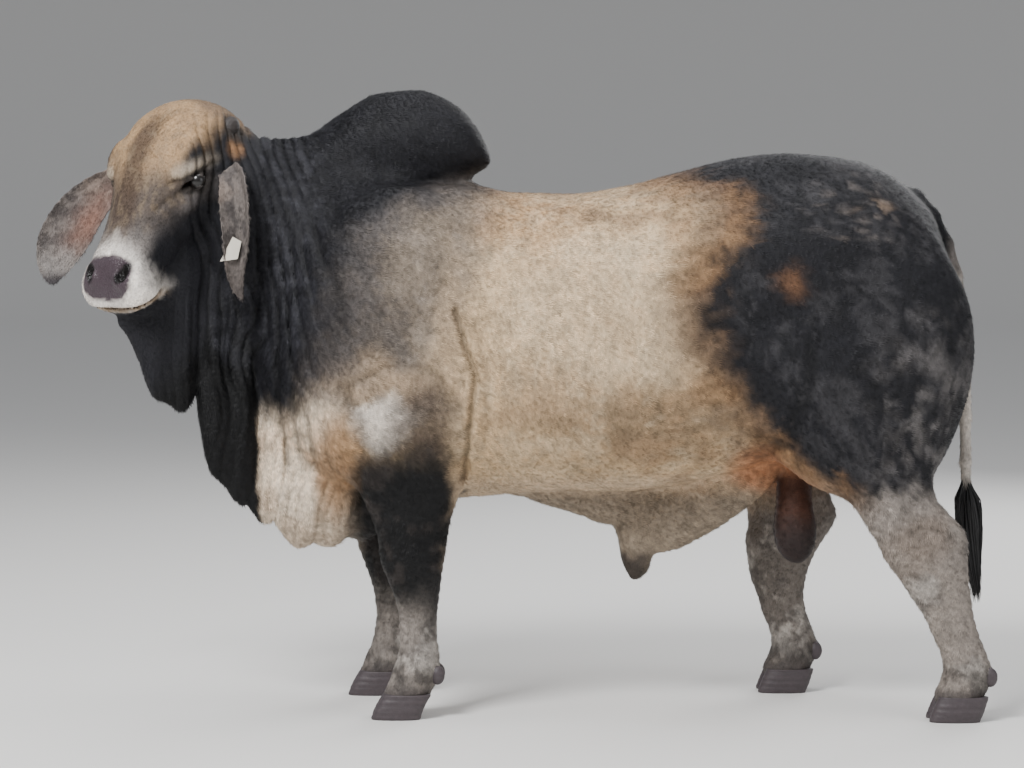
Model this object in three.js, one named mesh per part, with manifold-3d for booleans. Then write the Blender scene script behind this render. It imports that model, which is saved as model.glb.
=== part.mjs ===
// A life-size brahman bull standing square, its head turned to its own left.
// Millimetres, +Z up, the bull faces -X and its left side faces -Y.
import * as THREE from "three";
import { mergeVertices } from "three/addons/utils/BufferGeometryUtils.js";
import Module from "manifold-3d";

const wasm = await Module();
wasm.setup();

// Driving sizes of the animal.
const TOUCHING_GAP = 0.3;
const FLOOR = 0;
const BACK_MESH = 72; // cell of the torso's surface grid
const NECK_MESH = 58;
const FOLD_MESH = 38;
const HEAD_MESH = 30;
const LEG_MESH = 43;
const PASTERN_MESH = 33;
const BELLY_MESH = 46; // sheath and scrotum
const TAIL_SIDES = 10;

const FORE_LEG_SIDE = 190; // from the middle plane to the leg's axis
const HIND_LEG_SIDE = 228;
const FAR_FORE_STEP = -80; // the right foreleg stands this far in front of the left
const EYE_RADIUS = 21;

// The head's own axes: along from poll to muzzle, up out of the forehead, side to the animal's left.
const HEAD_TURN = THREE.MathUtils.degToRad(40);
const HEAD_PITCH = THREE.MathUtils.degToRad(57);
const POLL = new THREE.Vector3(-850, -105, 1560);
const FACING = new THREE.Vector3(-Math.sin(HEAD_TURN), -Math.cos(HEAD_TURN), 0);
const HEAD_ALONG = FACING.clone().multiplyScalar(Math.cos(HEAD_PITCH)).add(new THREE.Vector3(0, 0, -Math.sin(HEAD_PITCH)));
const HEAD_UP = FACING.clone().multiplyScalar(Math.sin(HEAD_PITCH)).add(new THREE.Vector3(0, 0, Math.cos(HEAD_PITCH)));
const HEAD_SIDE = new THREE.Vector3(Math.cos(HEAD_TURN), -Math.sin(HEAD_TURN), 0);

// Smooth numbers

const clamp = (v, low, high) => Math.min(Math.max(v, low), high);
const smooth = (v, low, high) => {
  const t = clamp((v - low) / (high - low), 0, 1);
  return t * t * (3 - 2 * t);
};
const bump = (v, middle, reach) => Math.exp(-(((v - middle) / reach) ** 2));
const joined = (a, b, round) => {
  const h = Math.max(round - Math.abs(a - b), 0) / round;
  return Math.min(a, b) - h * h * round * 0.25;
};
const carved = (a, hollow, round) => -joined(-a, hollow, round);

// Stations are rows of [place, value, value, ...]; the curve runs through them without overshoot.
function stationCurve(rows) {
  const columns = rows[0].length - 1;
  const slopes = rows.map((row, i) =>
    row.slice(1).map((v, c) => {
      const before = rows[i - 1];
      const after = rows[i + 1];
      if (!before || !after) return 0;
      const a = (v - before[c + 1]) / (row[0] - before[0]);
      const b = (after[c + 1] - v) / (after[0] - row[0]);
      return a * b <= 0 ? 0 : (2 * a * b) / (a + b);
    }),
  );
  return (s, out) => {
    let i = 0;
    while (i < rows.length - 2 && s > rows[i + 1][0]) i++;
    const length = rows[i + 1][0] - rows[i][0];
    const t = clamp((s - rows[i][0]) / length, 0, 1);
    const t2 = t * t;
    const t3 = t2 * t;
    for (let c = 0; c < columns; c++)
      out[c] =
        rows[i][c + 1] * (2 * t3 - 3 * t2 + 1) +
        slopes[i][c] * length * (t3 - 2 * t2 + t) +
        rows[i + 1][c + 1] * (3 * t2 - 2 * t3) +
        slopes[i + 1][c] * length * (t3 - t2);
    return out;
  };
}

// A body whose section at each place is a soft rectangle: rows of [place, high, low, half width, middle].
function lofted(rows, roundness = 2.2, closing = 40) {
  const at = stationCurve(rows);
  const first = rows[0][0];
  const last = rows[rows.length - 1][0];
  const v = [0, 0, 0, 0];
  return (place, rise, across) => {
    at(place, v);
    const half = Math.max((v[0] - v[1]) / 2, 1);
    const a = rise - (v[0] + v[1]) / 2;
    const b = across - (v[3] || 0);
    const share = ((Math.abs(a) / half) ** roundness + (Math.abs(b) / v[2]) ** roundness) ** (1 / roundness);
    const reach = Math.hypot(a, b);
    const side = share < 1e-4 ? -Math.min(half, v[2]) : Math.max((reach * (share - 1)) / share, -Math.min(half, v[2]));
    return -joined(-side, Math.min(place - first, last - place), closing);
  };
}

// An egg with three radii, tilted nose down in the side view by some degrees.
function egg(x, y, z, rx, ry, rz, tilt = 0) {
  const c = Math.cos(THREE.MathUtils.degToRad(tilt));
  const s = Math.sin(THREE.MathUtils.degToRad(tilt));
  return (px, py, pz) => {
    const dx = px - x;
    const dz = pz - z;
    const u = (c * dx + s * dz) / rx;
    const v = (py - y) / ry;
    const w = (c * dz - s * dx) / rz;
    const k = Math.hypot(u, v, w);
    const g = Math.hypot(u / rx, v / ry, w / rz);
    return k < 1e-6 ? -Math.min(rx, ry, rz) : (k * (k - 1)) / g;
  };
}

// A round bar from one ball to another, thinner across by a share.
function bar(from, fromRadius, to, toRadius, thin = 1) {
  const d = to.map((v, i) => v - from[i]);
  const square = d[0] * d[0] + d[1] * d[1] + d[2] * d[2];
  return (x, y, z) => {
    const p = [x - from[0], y - from[1], z - from[2]];
    const t = clamp((p[0] * d[0] + p[1] * d[1] + p[2] * d[2]) / square, 0, 1);
    return Math.hypot(p[0] - d[0] * t, (p[1] - d[1] * t) / thin, p[2] - d[2] * t) - fromRadius - (toRadius - fromRadius) * t;
  };
}

// The torso

const TORSO = [
  // x, back, underline, half width
  [-690, 1130, 860, 110],
  [-600, 1250, 700, 205],
  [-470, 1350, 590, 262],
  [-300, 1385, 548, 290],
  [-150, 1378, 545, 300],
  [0, 1345, 556, 322],
  [150, 1341, 562, 338],
  [300, 1362, 562, 338],
  [450, 1402, 583, 318],
  [600, 1436, 618, 290],
  [700, 1445, 650, 276],
  [800, 1440, 700, 268],
  [900, 1424, 770, 250],
  [1000, 1376, 850, 215],
  [1080, 1300, 940, 165],
  [1140, 1200, 1040, 90],
];
const torsoLoft = lofted(TORSO, 2.35, 60);
const torsoMasses = [-1, 1].flatMap((side) => [
  egg(-330, side * 205, 1060, 185, 95, 300, -14), // shoulder blade
  egg(-390, side * 190, 760, 130, 110, 150, 10), // point of the shoulder
  egg(-250, side * 215, 800, 170, 90, 170, -20), // upper arm
  egg(700, side * 205, 1180, 130, 80, 110, 0), // hip
  egg(900, side * 175, 1010, 250, 120, 300, 12), // rump muscle
  egg(820, side * 180, 800, 190, 112, 240, 24), // front of the thigh
  egg(985, side * 165, 860, 175, 120, 300, -8), // back of the thigh
]);

function torso(x, y, z) {
  let d = torsoLoft(x, z, y);
  for (const mass of torsoMasses) d = joined(d, mass(x, y, z), 95);
  return d;
}

// The hump leans back over the withers
const HUMP = [
  // x, crown, base, half width
  [-600, 1475, 1300, 70],
  [-540, 1488, 1300, 92],
  [-448, 1546, 1290, 108],
  [-344, 1602, 1300, 120],
  [-240, 1610, 1330, 122],
  [-188, 1594, 1345, 118],
  [-136, 1562, 1372, 108],
  [-96, 1518, 1388, 88],
  [-70, 1470, 1402, 58],
  [-55, 1440, 1420, 25],
];
const humpLoft = lofted(HUMP, 2.1, 12);
const hump = (x, y, z) => humpLoft(x, z, y);

// The neck bends towards the left as it rises to the head
const neckBars = [
  bar([-420, 0, 1150], 235, [-700, -50, 1300], 165, 0.9),
  bar([-420, 0, 1330], 130, [-740, -75, 1385], 100, 0.85),
  bar([-560, -10, 1010], 190, [-730, -85, 1260], 125, 0.85),
  bar([-730, -70, 1340], 120, [-815, -110, 1400], 115, 1),
];
function neck(x, y, z) {
  let d = neckBars[0](x, y, z);
  for (const one of neckBars.slice(1)) d = joined(d, one(x, y, z), 70);
  return d;
}

// Loose skin that hangs in the middle plane: a thick sheet with folds that run down it
const sheetOf = (rows, roundness, closing) => lofted(rows, roundness, closing);
const THROAT_FOLD = [
  // x, top, hem, half width, middle
  [-990, 1030, 1000, 22, -240],
  [-945, 1170, 905, 40, -228],
  [-900, 1240, 812, 48, -208],
  [-860, 1260, 788, 50, -190],
  [-825, 1260, 790, 50, -172],
  [-785, 1250, 850, 44, -150],
];
const DEWLAP = [
  [-820, 1150, 820, 40, -152],
  [-780, 1200, 640, 52, -128],
  [-730, 1220, 560, 58, -105],
  [-690, 1220, 530, 60, -85],
  [-655, 1200, 482, 64, -62],
  [-630, 1150, 490, 68, -45],
  [-600, 1100, 560, 74, -30],
];
const BRISKET = [
  [-640, 900, 500, 60, -25],
  [-600, 960, 440, 95, -14],
  [-540, 960, 415, 120, -6],
  [-480, 900, 420, 125, 0],
  [-420, 850, 432, 118, 0],
  [-350, 800, 450, 110, 0],
  [-250, 750, 500, 110, 0],
  [-180, 700, 540, 90, 0],
];
const throatLoft = sheetOf(THROAT_FOLD, 2, 16);
const dewlapLoft = sheetOf(DEWLAP, 2, 20);
const brisketLoft = sheetOf(BRISKET, 2.4, 30);

const FOLD_DEPTH = 9;
const FOLD_PITCH = 92;
const foldRipple = (x, y) => Math.sin(((x + 0.55 * y) * 2 * Math.PI) / FOLD_PITCH);

function hangingSkin(x, y, z) {
  const throat = throatLoft(x, z, y);
  const dewlap = dewlapLoft(x, z, y);
  const brisket = brisketLoft(x, z, y);
  const ripple = FOLD_DEPTH * foldRipple(x, y) * smooth(z, 1150, 900);
  return joined(joined(throat, dewlap, 14), brisket, 24) + ripple;
}

// The sheath hangs along the belly, with its mouth a third of the way back
const SHEATH = [
  [0, 600, 552, 30],
  [70, 600, 528, 48],
  [130, 610, 512, 56],
  [190, 610, 490, 58],
  [235, 610, 474, 56],
  [262, 610, 470, 52],
  [276, 610, 440, 48],
  [288, 610, 375, 44],
  [320, 610, 325, 42],
  [352, 610, 345, 44],
  [372, 615, 392, 48],
  [430, 625, 405, 56],
  [500, 640, 440, 60],
  [580, 660, 490, 62],
  [650, 670, 545, 60],
  [720, 690, 605, 50],
];
const sheathLoft = sheetOf(SHEATH, 1.8, 20);
const sheath = (x, y, z) => sheathLoft(x, z, y);

// Two testes in one purse under a narrow neck
const scrotumParts = [
  egg(738, 0, 590, 48, 62, 90),
  egg(738, -38, 462, 58, 50, 88, 3),
  egg(742, 38, 456, 58, 50, 90, 3),
];
const scrotum = (x, y, z) =>
  joined(scrotumParts[0](x, y, z), joined(scrotumParts[1](x, y, z), scrotumParts[2](x, y, z), 26), 60);

// Legs: rows of [height, back edge, front edge, half width, middle from the leg's axis]
const FORE_LEG = [
  [30, -240, -345, 50, 0],
  [64, -206, -330, 58, 0],
  [95, -188, -318, 56, 0],
  [128, -181, -306, 51, 0],
  [166, -182, -294, 44, 0],
  [204, -188, -290, 39, 0],
  [255, -188, -292, 40, 0],
  [305, -183, -303, 49, 0],
  [356, -177, -322, 58, 0],
  [400, -170, -338, 63, 0],
  [455, -162, -346, 64, -2],
  [510, -152, -361, 70, -6],
  [560, -135, -382, 80, -6],
  [640, -120, -408, 95, 0],
  [720, -130, -420, 100, 10],
];
const HIND_LEG = [
  [30, 1185, 1072, 50, 0],
  [64, 1205, 1072, 58, 0],
  [95, 1218, 1085, 56, 0],
  [130, 1222, 1094, 52, 0],
  [170, 1210, 1086, 46, 0],
  [215, 1192, 1066, 43, 0],
  [260, 1178, 1046, 43, 0],
  [310, 1170, 1012, 48, 0],
  [360, 1163, 980, 55, 0],
  [415, 1160, 940, 60, 0],
  [450, 1160, 925, 60, 0],
  [480, 1152, 905, 58, 0],
  [520, 1118, 880, 60, 2],
  [570, 1078, 850, 68, 6],
  [620, 1068, 810, 82, 12],
  [680, 1085, 770, 92, 24],
  [760, 1095, 750, 96, 40],
  [860, 1060, 770, 84, 66],
];
// The right hind leg stands further forward, so each height moves by its own step.
const hindStep = (z) => -395 + 190 * smooth(z, 150, 700) * smooth(z, 60, 500);
const shifted = (rows, step) => rows.map(([z, back, front, half, middle]) => [z, back + step(z), front + step(z), half, middle]);
const foreLoft = { left: lofted(FORE_LEG, 2.2, 30), right: lofted(shifted(FORE_LEG, () => FAR_FORE_STEP), 2.2, 30) };
const hindLoft = { left: lofted(HIND_LEG, 2.2, 30), right: lofted(shifted(HIND_LEG, hindStep), 2.2, 30) };

const foreLeg = (side, x, y, z) => (side < 0 ? foreLoft.left : foreLoft.right)(z, x, -side * (y - side * FORE_LEG_SIDE));
const hindLeg = (side, x, y, z) => (side < 0 ? hindLoft.left : hindLoft.right)(z, x, -side * (y - side * HIND_LEG_SIDE));

// The head, in its own axes
const CRANIUM = [
  // along, brow line, palate line, half width
  [-62, -60, -170, 70],
  [-30, -8, -225, 108],
  [20, 34, -245, 142],
  [80, 58, -240, 158],
  [150, 64, -222, 158],
  [215, 54, -205, 136],
  [290, 34, -186, 112],
  [360, 18, -164, 100],
  [420, 11, -148, 98],
  [465, 5, -140, 104],
  [500, -14, -132, 108],
  [530, -36, -122, 102],
  [552, -56, -112, 82],
  [564, -70, -100, 54],
];
const JAW = [
  [10, -120, -255, 66],
  [80, -120, -300, 92],
  [150, -120, -312, 94],
  [220, -120, -296, 84],
  [300, -110, -256, 68],
  [380, -100, -222, 62],
  [450, -90, -188, 72],
  [500, -82, -168, 76],
  [530, -80, -148, 64],
  [548, -84, -128, 44],
];
const craniumLoft = lofted(CRANIUM, 2.4, 26);
const jawLoft = lofted(JAW, 2.3, 26);
const EYE = [202, 144, -40]; // along, side, up
const LID_RADIUS = 27;
const headMasses = [-1, 1].flatMap((side) => [
  [egg(130, side * 104, -180, 100, 46, 100), 44], // cheek
  [egg(172, side * 128, -2, 62, 32, 34, -14), 30], // brow
  [egg(244, side * 120, -66, 46, 28, 22), 24], // under the eye
  [egg(490, side * 72, -70, 58, 40, 46, 20), 30], // side of the muzzle
  [egg(506, side * 50, -26, 26, 26, 18, -40), 14], // nostril wing
  [egg(EYE[0], side * EYE[1], EYE[2], LID_RADIUS, LID_RADIUS, LID_RADIUS), 10], // lids over the eyeball
]);
const LID_SLOPE = 36; // degrees, from the inner corner down to the outer one
const NOSTRIL = [496, 54, -10];
const MOUTH_LINE = egg(525, 0, -103, 60, 110, 3.5, 31);

// Head-axis coordinates of a point: [along, side, up].
function inHead(x, y, z) {
  const dx = x - POLL.x;
  const dy = y - POLL.y;
  const dz = z - POLL.z;
  return [
    dx * HEAD_ALONG.x + dy * HEAD_ALONG.y + dz * HEAD_ALONG.z,
    dx * HEAD_SIDE.x + dy * HEAD_SIDE.y,
    dx * HEAD_UP.x + dy * HEAD_UP.y + dz * HEAD_UP.z,
  ];
}
const outOfHead = (along, side, up) =>
  POLL.clone().addScaledVector(HEAD_ALONG, along).addScaledVector(HEAD_SIDE, side).addScaledVector(HEAD_UP, up);

function head(x, y, z) {
  const [along, side, up] = inHead(x, y, z);
  let d = joined(craniumLoft(along, up, side), jawLoft(along, up, side), 26);
  for (const [mass, round] of headMasses) d = joined(d, mass(along, side, up), round);
  return carved(d, MOUTH_LINE(along, side, up), 5);
}

// The whole animal's flesh, negative inside.
function flesh(x, y, z) {
  let d = 1e3;
  if (x > -760) d = torso(x, y, z);
  if (x < -20) {
    d = joined(d, neck(x, y, z), 80);
    d = joined(d, hump(x, y, z), 46);
    d = joined(d, hangingSkin(x, y, z), 30);
    if (x < -600 && z > 950) d = joined(d, head(x, y, z), 30);
  }
  if (z < 900) {
    const side = y < 0 ? -1 : 1;
    if (x < 0) d = joined(d, foreLeg(side, x, y, z), 44);
    if (x > 500) d = joined(d, hindLeg(side, x, y, z), 44);
    if (x > -60 && x < 800) d = joined(d, sheath(x, y, z), 26);
    if (x > 640 && x < 840) d = joined(d, scrotum(x, y, z), 14);
  }
  return d;
}

// Surfaces

// Turns a distance function into a closed mesh: one vertex for each grid cell that the surface crosses, pulled onto it.
function surfaceOf(distance, box, cell, level = 0) {
  const low = box.min.clone().subScalar(cell * 1.5);
  const counts = box.getSize(new THREE.Vector3()).addScalar(cell * 3).divideScalar(cell).ceil().toArray().map((n) => n + 1);
  const [nx, ny, nz] = counts;
  const values = new Float32Array(nx * ny * nz);
  const index = (i, j, k) => i + nx * (j + ny * k);
  for (let k = 0; k < nz; k++)
    for (let j = 0; j < ny; j++)
      for (let i = 0; i < nx; i++) {
        const rim = i === 0 || j === 0 || k === 0 || i === nx - 1 || j === ny - 1 || k === nz - 1;
        const v = rim ? cell : distance(low.x + i * cell, low.y + j * cell, low.z + k * cell) - level;
        values[index(i, j, k)] = v === 0 ? 1e-4 : v;
      }
  fillPinches(values, counts);
  const places = [];
  const cellVertex = new Map();
  for (let k = 0; k < nz - 1; k++)
    for (let j = 0; j < ny - 1; j++)
      for (let i = 0; i < nx - 1; i++) {
        const sum = [0, 0, 0];
        let crossings = 0;
        for (let edge = 0; edge < 12; edge++) {
          const axis = edge >> 2;
          const a = [0, 0, 0];
          a[(axis + 1) % 3] = edge & 1;
          a[(axis + 2) % 3] = (edge >> 1) & 1;
          const b = a.slice();
          b[axis] = 1;
          const va = values[index(i + a[0], j + a[1], k + a[2])];
          const vb = values[index(i + b[0], j + b[1], k + b[2])];
          if (va < 0 === vb < 0) continue;
          const t = va / (va - vb);
          for (let c = 0; c < 3; c++) sum[c] += a[c] + (b[c] - a[c]) * t;
          crossings++;
        }
        if (!crossings) continue;
        const p = [i, j, k].map((n, c) => low.getComponent(c) + (n + sum[c] / crossings) * cell);
        pullOnto(distance, p, level, cell);
        cellVertex.set(index(i, j, k), places.length / 3);
        places.push(...p);
      }
  const faces = [];
  const strides = [1, nx, nx * ny];
  for (let k = 0; k < nz - 1; k++)
    for (let j = 0; j < ny - 1; j++)
      for (let i = 0; i < nx - 1; i++)
        for (let axis = 0; axis < 3; axis++) {
          const corner = [i, j, k];
          if (!corner[(axis + 1) % 3] || !corner[(axis + 2) % 3]) continue;
          const here = index(i, j, k);
          const inside = values[here] < 0;
          if (inside === values[here + strides[axis]] < 0) continue;
          const u = strides[(axis + 1) % 3];
          const w = strides[(axis + 2) % 3];
          const ring = [here - u - w, here - w, here, here - u].map((n) => cellVertex.get(n));
          if (!inside) ring.reverse();
          const [a, b, c, d] = ring;
          if (gapBetween(places, a, c) < gapBetween(places, b, d)) faces.push(a, b, c, a, c, d);
          else faces.push(a, b, d, b, c, d);
        }
  return solidFrom(places, faces);
}

// Where a grid face has its two inside corners on a diagonal, one more corner is taken in, so no edge is shared four times.
function fillPinches(values, [nx, ny, nz]) {
  const strides = [1, nx, nx * ny];
  let again = true;
  while (again) {
    again = false;
    for (let k = 0; k < nz - 1; k++)
      for (let j = 0; j < ny - 1; j++)
        for (let i = 0; i < nx - 1; i++)
          for (let axis = 0; axis < 3; axis++) {
            const a = i + nx * (j + ny * k);
            const u = strides[(axis + 1) % 3];
            const w = strides[(axis + 2) % 3];
            const inside = [a, a + u, a + u + w, a + w].map((n) => values[n] < 0);
            if (inside[0] !== inside[2] || inside[1] !== inside[3] || inside[0] === inside[1]) continue;
            const pair = inside[0] ? [a + u, a + w] : [a, a + u + w];
            values[values[pair[0]] < values[pair[1]] ? pair[0] : pair[1]] = -1e-3;
            again = true;
          }
  }
}

const gapBetween = (places, a, b) =>
  Math.hypot(places[3 * a] - places[3 * b], places[3 * a + 1] - places[3 * b + 1], places[3 * a + 2] - places[3 * b + 2]);

// Moves a point onto the surface along the slope of the distance, by no more than part of a cell.
function pullOnto(distance, p, level, cell) {
  const step = 1.5;
  for (let round = 0; round < 3; round++) {
    const d = distance(...p) - level;
    const g = [0, 1, 2].map((c) => {
      const q = p.slice();
      q[c] += step;
      return (distance(...q) - level - d) / step;
    });
    const square = Math.max(g[0] ** 2 + g[1] ** 2 + g[2] ** 2, 0.3);
    for (let c = 0; c < 3; c++) p[c] -= clamp((d * g[c]) / square, -cell * 0.3, cell * 0.3);
  }
}

const solidFrom = (places, faces) =>
  new wasm.Manifold(new wasm.Mesh({ numProp: 3, vertProperties: new Float32Array(places), triVerts: new Uint32Array(faces) }));

function solidOf(geometry, matrix) {
  const bare = new THREE.BufferGeometry().setAttribute("position", geometry.getAttribute("position").clone());
  if (geometry.index) bare.setIndex(geometry.index);
  if (matrix) bare.applyMatrix4(matrix);
  const merged = mergeVertices(bare.index ? bare.toNonIndexed() : bare, 1e-3);
  return solidFrom(merged.getAttribute("position").array, merged.index.array);
}

const largest = (solid) =>
  solid.decompose().reduce((best, one) => (one.volume() > best.volume() ? one : best));

// Cutting blocks

// A block with a side-view outline, [x, z] corners counter-clockwise, grown by some millimetres.
function block(outline, low, high, grow = 0) {
  const n = outline.length;
  const outward = (a, b) => {
    const l = Math.hypot(b[0] - a[0], b[1] - a[1]);
    return [(b[1] - a[1]) / l, -(b[0] - a[0]) / l];
  };
  const corners = outline.map((p, i) => {
    const a = outward(outline[(i + n - 1) % n], p);
    const b = outward(p, outline[(i + 1) % n]);
    const scale = grow / (1 + a[0] * b[0] + a[1] * b[1]);
    return new THREE.Vector2(p[0] + (a[0] + b[0]) * scale, p[1] + (a[1] + b[1]) * scale);
  });
  const geometry = new THREE.ExtrudeGeometry(new THREE.Shape(corners), {
    depth: high - low + 2 * grow,
    bevelEnabled: false,
  });
  return solidOf(geometry, new THREE.Matrix4().makeRotationX(Math.PI / 2).setPosition(0, high + grow, 0));
}

const HEAD_FRAME = new THREE.Matrix4().makeBasis(HEAD_ALONG, HEAD_SIDE, HEAD_UP).setPosition(POLL);

// A block whose outline is given as [along, up] in the head's own axes.
function headBlock(outline, grow = 0) {
  return block(outline, -178, 178, grow).transform([
    ...HEAD_ALONG.toArray(), 0,
    ...HEAD_SIDE.toArray(), 0,
    ...HEAD_UP.toArray(), 0,
    ...POLL.toArray(), 1,
  ]);
}

const boxOf = (x0, y0, z0, x1, y1, z1) => new THREE.Box3(new THREE.Vector3(x0, y0, z0), new THREE.Vector3(x1, y1, z1));
const boxSolid = (x0, y0, z0, x1, y1, z1) => block([[x0, z0], [x1, z0], [x1, z1], [x0, z1]], y0, y1);

// Tubes, ears and eggs as closed meshes

function closedGrid(rings, cap = true) {
  const places = rings.flat().flatMap((p) => p.toArray());
  const n = rings[0].length;
  const faces = [];
  for (let i = 0; i < rings.length - 1; i++)
    for (let j = 0; j < n; j++) {
      const a = i * n + j;
      const b = i * n + ((j + 1) % n);
      faces.push(a, b, b + n, a, b + n, a + n);
    }
  if (cap) {
    for (let j = 1; j < n - 1; j++) {
      faces.push(0, j + 1, j);
      const last = (rings.length - 1) * n;
      faces.push(last, last + j, last + j + 1);
    }
  }
  const solid = solidFrom(places, faces);
  return solid.volume() > 0 ? solid : solidFrom(places, faces.map((v, i) => faces[i - (i % 3) + [0, 2, 1][i % 3]]));
}

// A round tube through rows of [x, y, z, radius, flatness].
function tube(rows, sides, grow = 0) {
  return closedGrid(
    rows.map(([x, y, z, radius, flat = 1], i) => {
      const before = rows[Math.max(i - 1, 0)];
      const after = rows[Math.min(i + 1, rows.length - 1)];
      const way = new THREE.Vector3(after[0] - before[0], after[1] - before[1], after[2] - before[2]).normalize();
      const across = new THREE.Vector3(0, 1, 0);
      const out = new THREE.Vector3().crossVectors(way, across).normalize();
      const end = i === 0 ? -grow : i === rows.length - 1 ? grow : 0;
      return Array.from({ length: sides }, (_, j) => {
        const turn = (j / sides) * 2 * Math.PI;
        return new THREE.Vector3(x, y, z)
          .addScaledVector(way, end)
          .addScaledVector(out, (radius + grow) * Math.cos(turn))
          .addScaledVector(across, (radius * flat + grow) * Math.sin(turn));
      });
    }),
  );
}

// An ear: a cupped leaf through rows of [centre, half width, cup depth, thickness, turn about its length].
function ear(rows, across, grow = 0) {
  const steps = 5;
  return closedGrid(
    rows.map(([x, y, z, half, cup, thick, turn], i) => {
      const before = rows[Math.max(i - 1, 0)];
      const after = rows[Math.min(i + 1, rows.length - 1)];
      const way = new THREE.Vector3(after[0] - before[0], after[1] - before[1], after[2] - before[2]).normalize();
      const side = across.clone().addScaledVector(way, -across.dot(way)).normalize();
      side.applyAxisAngle(way, THREE.MathUtils.degToRad(turn));
      const face = new THREE.Vector3().crossVectors(way, side);
      const end = i === 0 ? -grow : i === rows.length - 1 ? grow : 0;
      const ring = [];
      for (let k = 0; k < 4 * steps; k++) {
        const front = k < 2 * steps;
        const share = front ? -1 + k / steps : 1 - (k - 2 * steps) / steps;
        const bend = share * 1.15;
        const w = ((half + grow) * Math.sin(bend)) / Math.sin(1.15);
        const t = cup * (1 - Math.cos(bend)) * 1.7 + (front ? 1 : -1) * (thick / 2 + grow) * Math.sqrt(1.06 - share * share);
        ring.push(new THREE.Vector3(x, y, z).addScaledVector(way, end).addScaledVector(side, w).addScaledVector(face, t));
      }
      return ring;
    }),
  );
}

function ball(centre, rx, ry, rz, basis, wide = 14, tall = 9) {
  const m = basis.clone().setPosition(centre).multiply(new THREE.Matrix4().makeScale(rx, ry, rz));
  return solidOf(new THREE.SphereGeometry(1, wide, tall), m);
}

// Where the flesh is parted into nodes

const HEAD_OUTLINE = [[-170, 20], [-90, -130], [110, -345], [300, -288], [540, -214], [602, -176], [602, 180], [-170, 180]];
const JAW_OUTLINE = [[330, -360], [660, -360], [660, -21], [575, -72], [470, -135], [400, -170], [330, -240]];
const LIP_OUTLINE = [[484, -129], [620, -47], [620, -42], [484, -123]];
const HUMP_OUTLINE = [[-575, 1432], [-180, 1352], [-20, 1372], [-20, 1720], [-575, 1720]];
const THROAT_LINE = -808;
const DEWLAP_LINE = -628;
const DEWLAP_TOP = [[-1020, 1215], [-808, 1215], [-700, 1060], [-628, 905]];
const BRISKET_TOP = 590;
const BRISKET_HALF = 122;
const CHEST_FRONT = -520;
const CHEST_BACK = -70;
const RUMP_FRONT = 560;
const SHEATH_TOP = 552;
const FORE_TOP = 556;
const KNEE_TOP = 400;
const FORE_PASTERN_TOP = 150;
const HIND_TOP = 690;
const HOCK_TOP = 452;
const HIND_PASTERN_TOP = 158;
const CORONET = 64;
const THIGH_FRONT = { left: 660, right: 500 };
const THIGH_INSIDE = 104;
const HALF_GAP = TOUCHING_GAP / 2;

const nodes = [];
function addNode(name, solid, [colour, roughness, metalness = 0]) {
  const body = largest(solid);
  const mesh = body.getMesh();
  const geometry = new THREE.BufferGeometry();
  geometry.setAttribute("position", new THREE.Float32BufferAttribute(mesh.vertProperties, 3));
  geometry.setIndex(Array.from(mesh.triVerts));
  geometry.computeVertexNormals();
  const node = new THREE.Mesh(geometry, new THREE.MeshStandardMaterial({ color: colour, roughness, metalness }));
  node.name = name;
  nodes.push(node);
}

const HIDE_DARK = [0x35343a, 0.75];
const HIDE_SLATE = [0x57565d, 0.75];
const HIDE_CREAM = [0xb7a797, 0.75];
const HIDE_PALE = [0x9c948d, 0.75];
const HIDE_FACE = [0x8d7d70, 0.75];
const HORN = [0x2b2624, 0.55];
const HOOF = [0x3a3436, 0.5];
const EYE_DARK = [0x120c0a, 0.08];
const EAR_SKIN = [0x7f706b, 0.75];
const SHEATH_SKIN = [0x83766e, 0.72];
const PURSE_SKIN = [0x6b4a43, 0.7];
const SWITCH_HAIR = [0x161416, 0.6];
const TAG_PLASTIC = [0xe6e6e2, 0.45];

// The tail and its switch
const TAIL = [
  [985, 0, 1330, 38],
  [1040, 0, 1316, 38],
  [1082, 0, 1275, 34],
  [1122, 0, 1206, 29],
  [1148, 0, 1130, 26],
  [1168, 0, 1030, 23],
  [1180, 0, 900, 20],
  [1184, 0, 760, 18],
  [1186, 0, 640, 17],
  [1188, 0, 560, 15],
];
const tailSolid = tube(TAIL, TAIL_SIDES);
const tailRoom = tube(TAIL, TAIL_SIDES, TOUCHING_GAP);
const TAIL_MIDDLE = [1180, 830];
const LOCKS = [
  // side step, back step, length, half width
  [0, 0, 1, 1],
  [-14, 10, 0.88, 0.8],
  [15, 8, 0.92, 0.8],
  [-7, -12, 0.8, 0.7],
  [9, -10, 0.84, 0.7],
];
function lock([side, back, long, wide]) {
  const at = (share) => 596 - share * long * 356;
  const rows = [
    [1188 + back * 0.15, side * 0.2, at(0), 9],
    [1189 + back * 0.6, side * 0.6, at(0.12), 18 * wide],
    [1194 + back * 1.1, side * 1.2, at(0.35), 24 * wide],
    [1202 + back * 1.1, side * 1.3, at(0.62), 22 * wide],
    [1212 + back * 0.8, side, at(0.85), 13 * wide],
    [1220 + back * 0.5, side * 0.6, at(1), 3],
  ];
  return tube(rows.map(([x, y, z, r]) => [x, y, z, r, 0.8]), 6);
}
const switchSolid = LOCKS.map(lock).reduce((all, one) => all.add(one)).subtract(tailRoom);

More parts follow.
